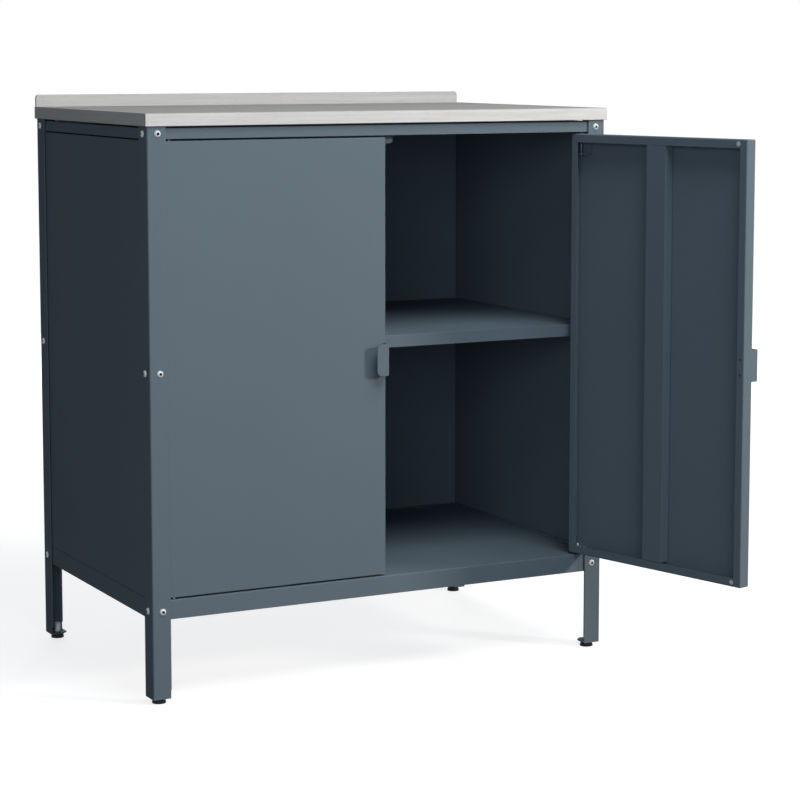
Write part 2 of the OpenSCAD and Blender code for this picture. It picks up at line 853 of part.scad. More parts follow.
post(-1, -1);  // post_front_left
post(1, -1);  // post_front_right
post(-1, 1);  // post_rear_left
post(1, 1);  // post_rear_right
foot_plates();
foot_nuts();
foot_stem(-1, -1);  // foot_stem_front_left
foot_stem(1, -1);  // foot_stem_front_right
foot_stem(-1, 1);  // foot_stem_rear_left
foot_stem(1, 1);  // foot_stem_rear_right
foot_pad(-1, -1);  // foot_pad_front_left
foot_pad(1, -1);  // foot_pad_front_right
foot_pad(-1, 1);  // foot_pad_rear_left
foot_pad(1, 1);  // foot_pad_rear_right
top_rail_front();
top_rail_rear();
top_rail_side(-1);  // top_rail_left
top_rail_side(1);  // top_rail_right
floor_panel();
side_panel(-1);  // side_panel_left
side_panel(1);  // side_panel_right
back_panel();
shelf();
shelf_support(-1);  // shelf_support_left
shelf_support(1);  // shelf_support_right
worktop();
worktop_screws();
worktop_spacers();
backsplash();
backsplash_screws();
bolts(bolt_top_z);  // bolts_top
bolts(bolt_mid_z);  // bolts_middle
bolts(bolt_low_z);  // bolts_bottom
nuts(bolt_top_z);  // nuts_top
nuts(bolt_mid_z);  // nuts_middle
nuts(bolt_low_z);  // nuts_bottom
panel_screws();
catch_plate();
hinge_bushes();
door_pan(-1);  // left_door_pan
door_stiffener(-1);  // left_door_stiffener
handle(-1);  // left_handle
handle_screws(-1);  // left_handle_screws
magnets(-1);  // left_magnets
upper_bracket(-1);  // left_upper_bracket
lower_bracket(-1);  // left_lower_bracket
upper_pin(-1);  // left_upper_pin
lower_pin(-1);  // left_lower_pin
pin_clip(-1);  // left_pin_clip
door_pan(1);  // right_door_pan
door_stiffener(1);  // right_door_stiffener
handle(1);  // right_handle
handle_screws(1);  // right_handle_screws
magnets(1);  // right_magnets
upper_bracket(1);  // right_upper_bracket
lower_bracket(1);  // right_lower_bracket
upper_pin(1);  // right_upper_pin
lower_pin(1);  // right_lower_pin
pin_clip(1);  // right_pin_clip
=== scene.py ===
import math

import bmesh
import bpy
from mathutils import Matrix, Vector


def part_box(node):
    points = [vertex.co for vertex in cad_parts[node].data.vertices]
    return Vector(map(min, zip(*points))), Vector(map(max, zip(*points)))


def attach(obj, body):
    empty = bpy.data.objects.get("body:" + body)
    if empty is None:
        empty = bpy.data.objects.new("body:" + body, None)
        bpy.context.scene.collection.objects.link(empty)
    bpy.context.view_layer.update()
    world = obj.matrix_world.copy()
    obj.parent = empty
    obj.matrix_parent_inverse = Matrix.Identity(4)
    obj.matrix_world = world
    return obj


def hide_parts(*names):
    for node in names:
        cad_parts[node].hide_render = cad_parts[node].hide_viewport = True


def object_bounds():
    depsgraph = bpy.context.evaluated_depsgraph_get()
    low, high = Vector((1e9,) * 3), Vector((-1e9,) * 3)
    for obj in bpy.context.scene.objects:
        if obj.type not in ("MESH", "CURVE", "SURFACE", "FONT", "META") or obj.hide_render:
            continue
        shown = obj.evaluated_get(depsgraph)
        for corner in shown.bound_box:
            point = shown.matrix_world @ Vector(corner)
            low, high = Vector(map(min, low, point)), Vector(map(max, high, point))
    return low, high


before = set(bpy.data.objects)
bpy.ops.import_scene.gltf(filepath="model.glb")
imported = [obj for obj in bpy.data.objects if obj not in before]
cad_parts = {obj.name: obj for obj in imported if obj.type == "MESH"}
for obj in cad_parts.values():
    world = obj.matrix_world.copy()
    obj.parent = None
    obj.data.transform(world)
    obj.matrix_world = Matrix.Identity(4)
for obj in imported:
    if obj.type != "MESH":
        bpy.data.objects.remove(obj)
cad_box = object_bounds()

# Corner posts
# Four L-shaped uprights folded from 1.2 mm sheet, with a hem along each free edge. They run down
# as legs, and everything else is bolted to them. All the sheet metal has the same powder coat.
MM = 0.001
SIDES = {"left": -1, "right": 1}
ENDS = {"front": -1, "rear": 1}
POST_CUT = 0.25 * MM


def put(tree, kind, inputs=None, **settings):
    """Adds a node. Each input, under its name or place, is a value or another node's socket."""
    node = tree.nodes.new(kind)
    for key, value in settings.items():
        setattr(node, key, value)
    for key, value in (inputs or {}).items():
        if isinstance(value, bpy.types.NodeSocket):
            tree.links.new(value, node.inputs[key])
        else:
            node.inputs[key].default_value = value
    return node


def maths(tree, operation, *values, **settings):
    """Works on sockets and numbers, and returns the socket."""
    node = put(tree, "ShaderNodeMath", dict(enumerate(values)), operation=operation, **settings)
    return node.outputs[0]


def noise(tree, at, scale, detail, roughness=0.5):
    """Noise of 0 to 1, as a socket."""
    return put(tree, "ShaderNodeTexNoise", {"Vector": at, "Scale": scale, "Detail": detail,
                                            "Roughness": roughness}).outputs[0]


def blend(tree, factor, first, second):
    """Mixes two colours and returns the socket."""
    mix = put(tree, "ShaderNodeMix", {0: factor, 6: first, 7: second}, data_type="RGBA")
    return mix.outputs[2]


def spread(tree, value, low, high, to_low, to_high):
    """Maps a value from one range to another and returns the socket."""
    node = put(tree, "ShaderNodeMapRange", {0: value, 1: low, 2: high, 3: to_low, 4: to_high})
    return node.outputs[0]


def effect(name, inputs, outputs):
    """A shader node group with named sockets, its input node and its output node."""
    group = bpy.data.node_groups.new(name, "ShaderNodeTree")
    for label, kind, value in inputs:
        socket = group.interface.new_socket(label, in_out="INPUT", socket_type=kind)
        if value is not None:
            socket.default_value = value
    for label, kind in outputs:
        group.interface.new_socket(label, in_out="OUTPUT", socket_type=kind)
    return group, put(group, "NodeGroupInput"), put(group, "NodeGroupOutput")


def finish_of(name, **settings):
    """A new material, its tree and its Principled node, with that node's constant sockets set."""
    material = bpy.data.materials.new(name)
    material.use_nodes = True
    tree = material.node_tree
    shader = tree.nodes["Principled BSDF"]
    for key, value in settings.items():
        shader.inputs[key.replace("_", " ")].default_value = value
    return material, tree, shader


def srgb(red, green, blue):
    """A display colour of 0 to 255 as the linear colour that a shader takes."""
    lin = [c / 12.92 if c <= 0.04045 else ((c + 0.055) / 1.055) ** 2.4
           for c in (red / 255, green / 255, blue / 255)]
    return (*lin, 1)


# Cloudy change of tone over a surface, and the peel and grain of a sprayed coat
coat_group, given, made = effect(
    "sprayed_coat",
    [("Colour", "NodeSocketColor", (0.5, 0.5, 0.5, 1)), ("Cloud size", "NodeSocketFloat", 0.2),
     ("Cloud depth", "NodeSocketFloat", 0.05), ("Roughness", "NodeSocketFloat", 0.45),
     ("Peel size", "NodeSocketFloat", 0.004), ("Grain size", "NodeSocketFloat", 0.0009)],
    [("Colour", "NodeSocketColor"), ("Roughness", "NodeSocketFloat"),
     ("Height", "NodeSocketFloat")])
place_at = put(coat_group, "ShaderNodeTexCoord").outputs["Object"]
inverse = {label: maths(coat_group, "DIVIDE", 1.0, given.outputs[label])
           for label in ("Cloud size", "Peel size", "Grain size")}
cloud = noise(coat_group, place_at, inverse["Cloud size"], 4.0, 0.6)
peel = noise(coat_group, place_at, inverse["Peel size"], 1.0)
grain = noise(coat_group, place_at, inverse["Grain size"], 2.0)
lighter = maths(coat_group, "MULTIPLY_ADD", maths(coat_group, "SUBTRACT", cloud, 0.5),
                given.outputs["Cloud depth"], 1.0)
speck = spread(coat_group, grain, 0.35, 0.65, 0.975, 1.025)
tone = maths(coat_group, "MULTIPLY", lighter, speck)
tinted = put(coat_group, "ShaderNodeVectorMath", {0: given.outputs["Colour"], "Scale": tone},
             operation="SCALE").outputs[0]
coat_group.links.new(tinted, made.inputs["Colour"])
rougher = maths(coat_group, "ADD", spread(coat_group, cloud, 0.3, 0.7, -0.05, 0.05),
                given.outputs["Roughness"])
coat_group.links.new(rougher, made.inputs["Roughness"])
relief = maths(coat_group, "MULTIPLY_ADD", grain, 0.35, peel)
coat_group.links.new(relief, made.inputs["Height"])

# How near a point is to an outer edge, broken up, for paint that is rubbed thin there and for a
# painted highlight along the edge. The turn between the rounded and the true normal is 1 on the
# flat and falls towards the edge.
TURN_FLAT, TURN_EDGE = 0.99, 0.80
edge_group, given, made = effect(
    "rubbed_and_highlit_edge",
    [("Reach", "NodeSocketFloat", 0.0012), ("Patch size", "NodeSocketFloat", 0.03)],
    [("Mask", "NodeSocketFloat")])
rounded = put(edge_group, "ShaderNodeBevel", {"Radius": given.outputs["Reach"]}, samples=4)
straight = put(edge_group, "ShaderNodeNewGeometry").outputs["Normal"]
turn = put(edge_group, "ShaderNodeVectorMath", {0: rounded.outputs[0], 1: straight},
           operation="DOT_PRODUCT").outputs["Value"]
patch = noise(edge_group, put(edge_group, "ShaderNodeTexCoord").outputs["Object"],
              maths(edge_group, "DIVIDE", 1.0, given.outputs["Patch size"]), 3.0)
near = spread(edge_group, turn, TURN_FLAT, TURN_EDGE, 0.0, 1.0)
broken = maths(edge_group, "MULTIPLY", near, spread(edge_group, patch, 0.40, 0.62, 0.25, 1.0))
edge_group.links.new(broken, made.inputs["Mask"])

# Painted shade in a joint between sheets: how deep a point lies there, from the share of its
# surroundings that is free
FREE_UNSHADED, FREE_FULL_SHADE = 0.66, 0.40
joint_group, given, made = effect(
    "joint_painted_shade", [("Reach", "NodeSocketFloat", 0.003)], [("Mask", "NodeSocketFloat")])
free = put(joint_group, "ShaderNodeAmbientOcclusion", {"Distance": given.outputs["Reach"]},
           samples=6)
deep = spread(joint_group, free.outputs["AO"], FREE_UNSHADED, FREE_FULL_SHADE, 0.0, 1.0)
joint_group.links.new(deep, made.inputs["Mask"])


def coated(name, colour, rub_and_highlight_colour, roughness, cloud_depth, peel_height, rub_and_highlight_depth=0.5,
           joint_depth=0.0, **shine):
    """A sprayed or moulded finish: cloudy tone, peel and grain, edges lighter as rubbed paint with
    a painted highlight, and painted shade in joints.
    """
    material, tree, shader = finish_of(name, **shine)
    coat = put(tree, "ShaderNodeGroup", node_tree=coat_group)
    coat.inputs["Colour"].default_value = colour
    coat.inputs["Roughness"].default_value = roughness
    coat.inputs["Cloud depth"].default_value = cloud_depth
    # Lighter edges: partly paint rubbed thin, partly a painted highlight
    rub = put(tree, "ShaderNodeGroup", node_tree=edge_group)
    edge_lightening = maths(tree, "MULTIPLY", rub.outputs[0], rub_and_highlight_depth)
    tone = blend(tree, edge_lightening, coat.outputs["Colour"], rub_and_highlight_colour)
    # Painted shade in joints, darkest where little of a point's surroundings is free
    if joint_depth:
        joint = put(tree, "ShaderNodeGroup", node_tree=joint_group)
        joint_shade_share = maths(tree, "MULTIPLY", joint.outputs[0], joint_depth)
        tone = blend(tree, joint_shade_share, tone, JOINT_SHADE_COLOUR)
    tree.links.new(tone, shader.inputs["Base Color"])
    tree.links.new(coat.outputs["Roughness"], shader.inputs["Roughness"])
    bump = put(tree, "ShaderNodeBump", {"Height": coat.outputs["Height"], "Distance": peel_height})
    tree.links.new(bump.outputs[0], shader.inputs["Normal"])
    return material


PAINT_COLOUR = srgb(106, 119, 127)
# Edges are lighter, partly as paint rubbed thin and partly as a painted highlight
PAINT_RUBBED_AND_HIGHLIT = srgb(134, 146, 153)
# The dark colour that joints take is painted shade
JOINT_SHADE_COLOUR = srgb(12, 18, 24)
paint = coated("blue_grey_powder_coat", PAINT_COLOUR, PAINT_RUBBED_AND_HIGHLIT, roughness=0.58,
               cloud_depth=0.07, peel_height=0.03 * MM, rub_and_highlight_depth=0.12, joint_depth=0.8,
               Specular_IOR_Level=0.008)

# An edge counts from this angle on. The faces beside a fold and a cut edge have these least
# widths, in sheet thicknesses, and a cut edge this least length, in widths of its easing.
EDGE_ANGLE = math.radians(40)
FOLD_FACE, CUT_FACE, CUT_LENGTH = 1.8, 0.5, 8


def eased_kind(edge, wide, bend, sheet, cut):
    """Whether an edge is an outer fold, an inner fold or a cut edge of a sheet, or none of them."""
    if len(edge.link_faces) != 2 or edge.calc_face_angle(0) < EDGE_ANGLE:
        return None
    narrow = min(wide[face] for face in edge.link_faces)
    if bend and narrow > FOLD_FACE * sheet:
        return "outer" if edge.is_convex else "inner"
    if (cut and narrow > CUT_FACE * sheet and edge.is_convex
            and edge.calc_length() > CUT_LENGTH * cut):
        return "cut"
    return None


def on_line(edge, start, stop, slack=0.003 * MM):
    """Whether an edge lies on the straight line between two points."""
    way = (stop - start).normalized()
    for vert in edge.verts:
        reach = (vert.co - start).dot(way)
        if not -slack < reach < (stop - start).length + slack:
            return False
        if (vert.co - start - way * reach).length > slack:
            return False
    return True


LEAST_INNER_BEND = 0.3 * MM
BEND_STEPS = 4
STRIP = 1.002
WELD, HAIR = 0.002 * MM, 0.001 * MM
SAME_WAY, SAME_PLANE = 0.9999, 0.02 * MM
FLAT_ANGLE, LAST_FLAT_ANGLE = math.radians(0.5), math.radians(0.1)
SHARP_ANGLE = math.radians(35)


def dressed(node, finish, slot, body="cabinet", bend=0.0, sheet=0.0, cut=0.0):
    """A piece in the shape of a CAD node, with its folds bent to a radius and its cut edges eased.

    The faces are first cut along each fold, a hair outside its radius, so that the rounding stays
    in a strip of its own and draws no other face out of shape."""
    bm = bmesh.new()
    bm.from_mesh(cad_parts[node].data)
    bmesh.ops.remove_doubles(bm, verts=bm.verts, dist=WELD)
    bmesh.ops.dissolve_limit(bm, angle_limit=FLAT_ANGLE, verts=bm.verts, edges=bm.edges)
    wide = {f: f.calc_area() / max(e.calc_length() for e in f.edges) for f in bm.faces}
    radius = {"outer": bend, "inner": max(bend - sheet, LEAST_INNER_BEND), "cut": cut}
    lines = {kind: [] for kind in radius}
    planes = []
    for edge in bm.edges:
        kind = eased_kind(edge, wide, bend, sheet, cut)
        if kind is None:
            continue
        start, stop = (vert.co.copy() for vert in edge.verts)
        lines[kind].append((start, stop))
        for loop in edge.link_loops:
            way = loop.face.normal.cross(stop - start).normalized()
            if loop.vert == edge.verts[1]:
                way.negate()
            at = start + way * radius[kind] * STRIP
            if not any(abs(way.dot(other)) > SAME_WAY and abs((at - spot).dot(other)) < SAME_PLANE
                       for spot, other in planes):
                planes.append((at, way))
    for at, way in planes:
        bmesh.ops.bisect_plane(bm, geom=bm.verts[:] + bm.edges[:] + bm.faces[:], dist=HAIR,
                               plane_co=at, plane_no=way)
    cells = {}
    for face in bm.faces:
        middle = face.calc_center_median()
        key = tuple((middle - at).dot(way) > 0 for at, way in planes)
        face.material_index = cells.setdefault(key, len(cells))
    bmesh.ops.dissolve_limit(bm, angle_limit=FLAT_ANGLE, verts=bm.verts, edges=bm.edges,
                             delimit={"MATERIAL"})
    for kind in lines:
        chosen = [e for e in bm.edges if len(e.link_faces) == 2
                  and e.calc_face_angle(0) > EDGE_ANGLE and e.is_convex == (kind != "inner")
                  and any(on_line(e, *line) for line in lines[kind])]
        if chosen:
            bmesh.ops.bevel(bm, geom=chosen, offset=radius[kind], offset_type="OFFSET",
                            segments=1 if kind == "cut" else BEND_STEPS, profile=0.5,
                            affect="EDGES", clamp_overlap=True)
    for face in bm.faces:
        face.material_index = 0
    bmesh.ops.dissolve_limit(bm, angle_limit=LAST_FLAT_ANGLE, verts=bm.verts, edges=bm.edges)
    return finished(bm, node + "_sheet", finish, slot, body, node)


def in_scene(name, data):
    """A new object in the scene."""
    thing = bpy.data.objects.new(name, data)
    bpy.context.scene.collection.objects.link(thing)
    return thing


def finished(bm, name, finish, slot, body, *nodes):
    """Turns a mesh that is built into a piece, with its finish, its body and its nodes."""
    mesh = bpy.data.meshes.new(name)
    bm.to_mesh(mesh)
    bm.free()
    mesh.shade_smooth()
    mesh.set_sharp_from_angle(angle=SHARP_ANGLE)
    piece = in_scene(name, mesh)
    normals = piece.modifiers.new("even_shading", "WEIGHTED_NORMAL")
    normals.keep_sharp = True
    return settled(piece, finish, slot, body, *nodes)


def settled(piece, finish, slot, body, *nodes):
    """Gives a piece its finish, its body and the nodes that it stands for. The slot is not used."""
    if finish is not None:
        piece.data.materials.append(finish)
    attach(piece, body)
    if nodes:
        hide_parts(*nodes)
    return piece


for end in ENDS:
    for side in SIDES:
        dressed(f"post_{end}_{side}", paint, "paint", cut=POST_CUT)

# Foot plates and threaded bushes
# A steel plate is welded in the foot of each post, under the same coat. It carries a zinc-plated
# bush, with the thread that a levelling foot screws into.
ZINC_LIGHT = srgb(240, 240, 239)
ZINC_DARK = srgb(214, 215, 217)
SPANGLE_SCALE = 420.0
STAIN_SCALE = 160.0


def plated(name, light, dark, roughness, **shine):
    """Dull plating: broad spangle in the tone, and a roughness that changes with it."""
    material, tree, shader = finish_of(name, **shine)
    at = put(tree, "ShaderNodeTexCoord").outputs["Object"]
    spangle = put(tree, "ShaderNodeTexVoronoi", {"Vector": at, "Scale": SPANGLE_SCALE},
                  feature="SMOOTH_F1")
    stain = noise(tree, at, STAIN_SCALE, 4.0)
    mixed = maths(tree, "MULTIPLY", spangle.outputs["Distance"], stain)
    tree.links.new(blend(tree, spread(tree, mixed, 0.05, 0.35, 0.0, 1.0), light, dark),
                   shader.inputs["Base Color"])
    tree.links.new(spread(tree, stain, 0.3, 0.7, roughness - 0.06, roughness + 0.08),
                   shader.inputs["Roughness"])
    return material


zinc = plated("zinc_plate", ZINC_LIGHT, ZINC_DARK, 0.5, Metallic=0.15, Specular_IOR_Level=0.2)


def turned(profile, sides=40, shape=None, from_ring=0, recess_ring=None):
    """A closed turned shape round Z from radii and heights, first to last.

    From one ring on, shape gives the radius at an angle as a share of the round one. Faces past the
    recess ring are marked, so that they can be given a dark colour, which is painted shade."""
    bm = bmesh.new()
    recess = bm.faces.layers.int.new("recess")
    rings = []
    for place, (radius, height) in enumerate(profile):
        if radius == 0:
            rings.append([bm.verts.new((0, 0, height))])
            continue
        ring = []
        for step in range(sides):
            angle = 2 * math.pi * step / sides
            share = shape(angle) if shape and place >= from_ring else 1
            ring.append(bm.verts.new((radius * share * math.cos(angle),
                                      radius * share * math.sin(angle), height)))
        rings.append(ring)
    for place, (below, above) in enumerate(zip(rings, rings[1:])):
        for step in range(sides):
            after = (step + 1) % sides
            if len(below) == 1:
                face = bm.faces.new((below[0], above[after], above[step]))
            elif len(above) == 1:
                face = bm.faces.new((below[step], below[after], above[0]))
            else:
                face = bm.faces.new((below[step], below[after], above[after], above[step]))
            face[recess] = int(recess_ring is not None and place >= recess_ring)
    bmesh.ops.remove_doubles(bm, verts=bm.verts, dist=HAIR)
    bmesh.ops.recalc_face_normals(bm, faces=bm.faces)
    return bm


def centred(bm, low, high):
    """Moves a shape made round Z to stand over the middle of a box."""
    bmesh.ops.translate(bm, verts=bm.verts, vec=((low.x + high.x) / 2, (low.y + high.y) / 2, 0))
    return bm


def solids(node):
    """The low and high corners of each separate solid of a CAD node, in a steady order."""
    bm = bmesh.new()
    bm.from_mesh(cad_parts[node].data)
    bmesh.ops.remove_doubles(bm, verts=bm.verts, dist=HAIR)
    boxes, met = [], set()
    for first in bm.verts:
        if first in met:
            continue
        met.add(first)
        group, edge_of = [], [first]
        while edge_of:
            vert = edge_of.pop()
            group.append(vert.co.copy())
            for edge in vert.link_edges:
                other = edge.other_vert(vert)
                if other not in met:
                    met.add(other)
                    edge_of.append(other)
        boxes.append((Vector(min(v[i] for v in group) for i in range(3)),
                      Vector(max(v[i] for v in group) for i in range(3))))
    bm.free()
    return sorted(boxes, key=lambda box: tuple(round(c, 4) for c in box[0]))


def tube(inner_r, outer_r, low, high, ease):
    """A turned tube with eased rims."""
    profile = [(inner_r, low + ease), (inner_r + ease, low), (outer_r - ease, low),
               (outer_r, low + ease), (outer_r, high - ease), (outer_r - ease, high),
               (inner_r + ease, high), (inner_r, high - ease), (inner_r, low + ease)]
    return turned(profile)


def joined(shapes):
    """Several shapes as one."""
    whole = bmesh.new()
    for shape in shapes:
        part = bpy.data.meshes.new("part")
        shape.to_mesh(part)
        shape.free()
        whole.from_mesh(part)
        bpy.data.meshes.remove(part)
    return whole


PLATE_CUT = 0.25 * MM
STEM_PLAY = 0.1 * MM
FOOT_BUSH_EASE = 0.5 * MM
dressed("foot_plates", paint, "paint", cut=PLATE_CUT)
stem_r = (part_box("foot_stem_front_left")[1].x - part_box("foot_stem_front_left")[0].x) / 2
bushes = []
for low, high in solids("foot_nuts"):
    bush = tube(stem_r + STEM_PLAY, (high.x - low.x) / 2, low.z, high.z, FOOT_BUSH_EASE)
    bushes.append(centred(bush, low, high))
finished(joined(bushes), "foot_bushes", zinc, "zinc", "cabinet", "foot_nuts")

# Levelling feet
# A zinc-plated stem with an M8 thread, on a wide base of black moulded plastic. It screws in and
# out of the bush in its post, so that the cabinet stands level.
BASE_H = 3.8 * MM
BASE_TOE = 0.4 * MM
BASE_RIM = 3.6 * MM
HOLLOW_RIM = 4 * MM
HOLLOW_DEPTH = 0.3 * MM
NECK_R = 9.6 * MM
NECK_FOOT = 0.4 * MM
PAD_ROUND = 1.0 * MM
DISH_R, DISH_FLOOR_R = 5.2 * MM, 4.6 * MM
DISH_DEPTH = 0.8 * MM
black_moulding = coated("black_moulding", srgb(38, 38, 40), srgb(58, 58, 60), roughness=0.55,
                        cloud_depth=0.15, peel_height=0.04 * MM, rub_and_highlight_depth=0.3,
                        Specular_IOR_Level=0.2)


def corner_arc(x, y, radius, start, stop, steps=5):
    """Points of an arc round x, y, from one angle in degrees to another."""
    angles = [math.radians(start + (stop - start) * i / steps) for i in range(steps + 1)]
    return [(x + radius * math.cos(a), y + radius * math.sin(a)) for a in angles]


def foot_base(radius, top):
    """A moulded base round Z: hollow below, a flat disc, and a neck with a dished top."""
    profile = [(0, HOLLOW_DEPTH), (radius - HOLLOW_RIM, HOLLOW_DEPTH), (radius - BASE_RIM, 0)]
    profile += corner_arc(radius - BASE_TOE, BASE_TOE, BASE_TOE, -90, 0, 3)
    profile += corner_arc(radius - PAD_ROUND, BASE_H - PAD_ROUND, PAD_ROUND, 0, 90)
    profile += [(NECK_R + NECK_FOOT, BASE_H)]
    profile += corner_arc(NECK_R - PAD_ROUND, top - PAD_ROUND, PAD_ROUND, 0, 90)
    profile += [(DISH_R, top), (DISH_FLOOR_R, top - DISH_DEPTH), (0, top - DISH_DEPTH)]
    return turned(profile, sides=64)


THREAD_PITCH = 1.25 * MM
THREAD_DEPTH = 0.65 * MM


def threaded(radius, low, high, sides=28, rows_a_turn=6):
    """A screwed rod round Z: its radius rises and falls along a helix, and its ends are closed."""
    rows = round((high - low) / THREAD_PITCH * rows_a_turn)
    bm = bmesh.new()
    grid = []
    for row in range(rows + 1):
        height = low + (high - low) * row / rows
        ring = []
        for step in range(sides):
            phase = (row / rows_a_turn - step / sides) % 1
            depth = THREAD_DEPTH * abs(2 * phase - 1)
            angle = 2 * math.pi * step / sides
            ring.append(bm.verts.new(((radius - depth) * math.cos(angle),
                                      (radius - depth) * math.sin(angle), height)))
        grid.append(ring)
    for below, above in zip(grid, grid[1:]):
        for step in range(sides):
            after = (step + 1) % sides
            bm.faces.new((below[step], below[after], above[after], above[step]))
    bm.faces.new(list(reversed(grid[0])))
    bm.faces.new(grid[-1])
    return bm


for end in ENDS:
    for side in SIDES:
        body = f"foot_{end}_{side}"
        pad, stem = f"foot_pad_{end}_{side}", f"foot_stem_{end}_{side}"
        low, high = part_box(pad)
        finished(centred(foot_base((high.x - low.x) / 2, high.z), low, high), pad + "_moulding",
                 black_moulding, "black_plastic", body, pad)
        stem_low, stem_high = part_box(stem)
        rod = threaded((stem_high.x - stem_low.x) / 2, stem_low.z, stem_high.z)
        finished(centred(rod, low, high), stem + "_thread", zinc, "zinc", body, stem)

# Rails, floor and shelf
# Channels and trays folded from 1.2 mm sheet, the shelf from 1 mm, and bolted between the posts.
# The folds have an outer radius of up to two sheet thicknesses, as a press brake leaves them.
RAIL_SHEET, RAIL_BEND = 1.2 * MM, 1.8 * MM
SHELF_SHEET, SHELF_BEND = 1.0 * MM, 2.0 * MM
for node in ("top_rail_front", "top_rail_rear", "top_rail_left", "top_rail_right", "floor_panel",
             "shelf_support_left", "shelf_support_right"):
    dressed(node, paint, "paint", bend=RAIL_BEND, sheet=RAIL_SHEET)
dressed("shelf", paint, "paint", bend=SHELF_BEND, sheet=SHELF_SHEET)

# Side and back panels
# Single sheets of 0.8 mm, stiffened by a foot on the floor and by a joggle that tucks the upper
# edge behind the top rail. Where the tongue shows in the seam, it is given a dark coat, which is
# painted shade.
PANEL_SHEET, PANEL_BEND = 0.8 * MM, 1.4 * MM
SEAM = 2.2 * MM
FACES_OUT = 0.9
# A dark coat on the outer face of the tongue: painted shade in the seam
seam_shade_coat = coated("seam_painted_shade_coat", srgb(22, 27, 32), srgb(34, 40, 45), roughness=0.7,
                   cloud_depth=0.2, peel_height=0.03 * MM, rub_and_highlight_depth=0.1, Specular_IOR_Level=0.0)
seam_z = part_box("top_rail_left")[0].z - SEAM
OUTWARDS = {"side_panel_left": (-1, 0, 0), "side_panel_right": (1, 0, 0), "back_panel": (0, 1, 0)}
for node, outwards in OUTWARDS.items():
    panel = dressed(node, paint, "paint", bend=PANEL_BEND, sheet=PANEL_SHEET)
    panel.data.materials.append(seam_shade_coat)
    for face in panel.data.polygons:
        if face.center.z > seam_z and face.normal.dot(Vector(outwards)) > FACES_OUT:
            face.material_index = 1

# Worktop
# A chipboard panel faced with pale oak-grain laminate. A 1.5 mm band of the same decor is glued
# round its edges, and the thin glue line shows as a fine groove. The face is given darker tones
# than the long bands, which is painted shade on the top, and the end bands lighter, warmer ones,
# which is painted light on the ends.
BAND_T = 1.5 * MM
BAND_ROUND = 0.48 * BAND_T
GLUE_GROOVE = 0.25 * MM
# Darker than the bands' tones: painted shade on the top
FACE_LIGHT = srgb(190, 187, 181)
FACE_DARK = srgb(168, 164, 156)
BAND_LIGHT = srgb(229, 228, 224)
BAND_DARK = srgb(203, 200, 193)
# Lighter and warmer than the long bands' tones: painted light on the ends
END_LIGHT = srgb(238, 232, 223)
END_DARK = srgb(214, 207, 197)
# A painted highlight along the arrises of the laminate
ARRIS_HIGHLIGHT = srgb(246, 245, 242)
ARRIS_REACH = 1.2 * MM
PORE_DEPTH = 0.04 * MM

# Wood grain along X: long streaks, wider drifts of tone and short pores
wood_group, given, made = effect(
    "oak_grain",
    [("Vector", "NodeSocketVector", None), ("Light", "NodeSocketColor", FACE_LIGHT),
     ("Dark", "NodeSocketColor", FACE_DARK), ("Streak width", "NodeSocketFloat", 0.006),
     ("Streak length", "NodeSocketFloat", 0.35)],
    [("Colour", "NodeSocketColor"), ("Pores", "NodeSocketFloat")])
split = put(wood_group, "ShaderNodeSeparateXYZ", {0: given.outputs["Vector"]})
drift = noise(wood_group, given.outputs["Vector"], 3.0, 2.0)
along = maths(wood_group, "DIVIDE", split.outputs[0], given.outputs["Streak length"])
wander = maths(wood_group, "MULTIPLY_ADD", drift, 0.03, split.outputs[1])
across = maths(wood_group, "DIVIDE", wander, given.outputs["Streak width"])
upward = maths(wood_group, "DIVIDE", split.outputs[2], given.outputs["Streak width"])
stretched = put(wood_group, "ShaderNodeCombineXYZ", {0: along, 1: across, 2: upward}).outputs[0]
finer = put(wood_group, "ShaderNodeVectorMath", {0: stretched, 1: (12.0, 6.0, 6.0)},
            operation="MULTIPLY").outputs[0]
streaks = spread(wood_group, noise(wood_group, stretched, 1.0, 6.0, 0.65), 0.35, 0.70, 0.0, 0.55)
planks = spread(wood_group, noise(wood_group, stretched, 0.12, 2.0), 0.35, 0.65, 0.0, 0.35)
pore = spread(wood_group, noise(wood_group, finer, 1.0, 1.0), 0.62, 0.72, 0.0, 0.35)
depth = maths(wood_group, "ADD", maths(wood_group, "ADD", streaks, planks), pore, use_clamp=True)
wood_group.links.new(blend(wood_group, depth, given.outputs["Light"], given.outputs["Dark"]),
                     made.inputs["Colour"])
wood_group.links.new(pore, made.inputs["Pores"])


def laminate(name, light, dark, turn=0, arris_highlight_depth=0.0):
    """Matt wood-grain laminate whose grain is turned about Z by an angle in degrees, with a painted
    highlight along its arrises.
    """
    material, tree, shader = finish_of(name, Specular_IOR_Level=0.0)
    place = put(tree, "ShaderNodeTexCoord").outputs["Object"]
    at = put(tree, "ShaderNodeMapping",
             {"Vector": place, "Rotation": (0, 0, math.radians(turn))}).outputs[0]
    wood = put(tree, "ShaderNodeGroup", node_tree=wood_group)
    wood.inputs["Light"].default_value = light
    wood.inputs["Dark"].default_value = dark
    tree.links.new(at, wood.inputs["Vector"])
    # Painted highlight along the arrises
    arris = put(tree, "ShaderNodeGroup", node_tree=edge_group)
    arris.inputs["Reach"].default_value = ARRIS_REACH
    arris_highlight_share = maths(tree, "MULTIPLY", arris.outputs[0], arris_highlight_depth)
    tree.links.new(blend(tree, arris_highlight_share, wood.outputs["Colour"], ARRIS_HIGHLIGHT), shader.inputs["Base Color"])
    tree.links.new(spread(tree, wood.outputs["Pores"], 0.0, 0.35, 0.60, 0.70),
                   shader.inputs["Roughness"])
    bump = put(tree, "ShaderNodeBump", {"Height": wood.outputs["Pores"], "Distance": -PORE_DEPTH})
    tree.links.new(bump.outputs[0], shader.inputs["Normal"])
    return material


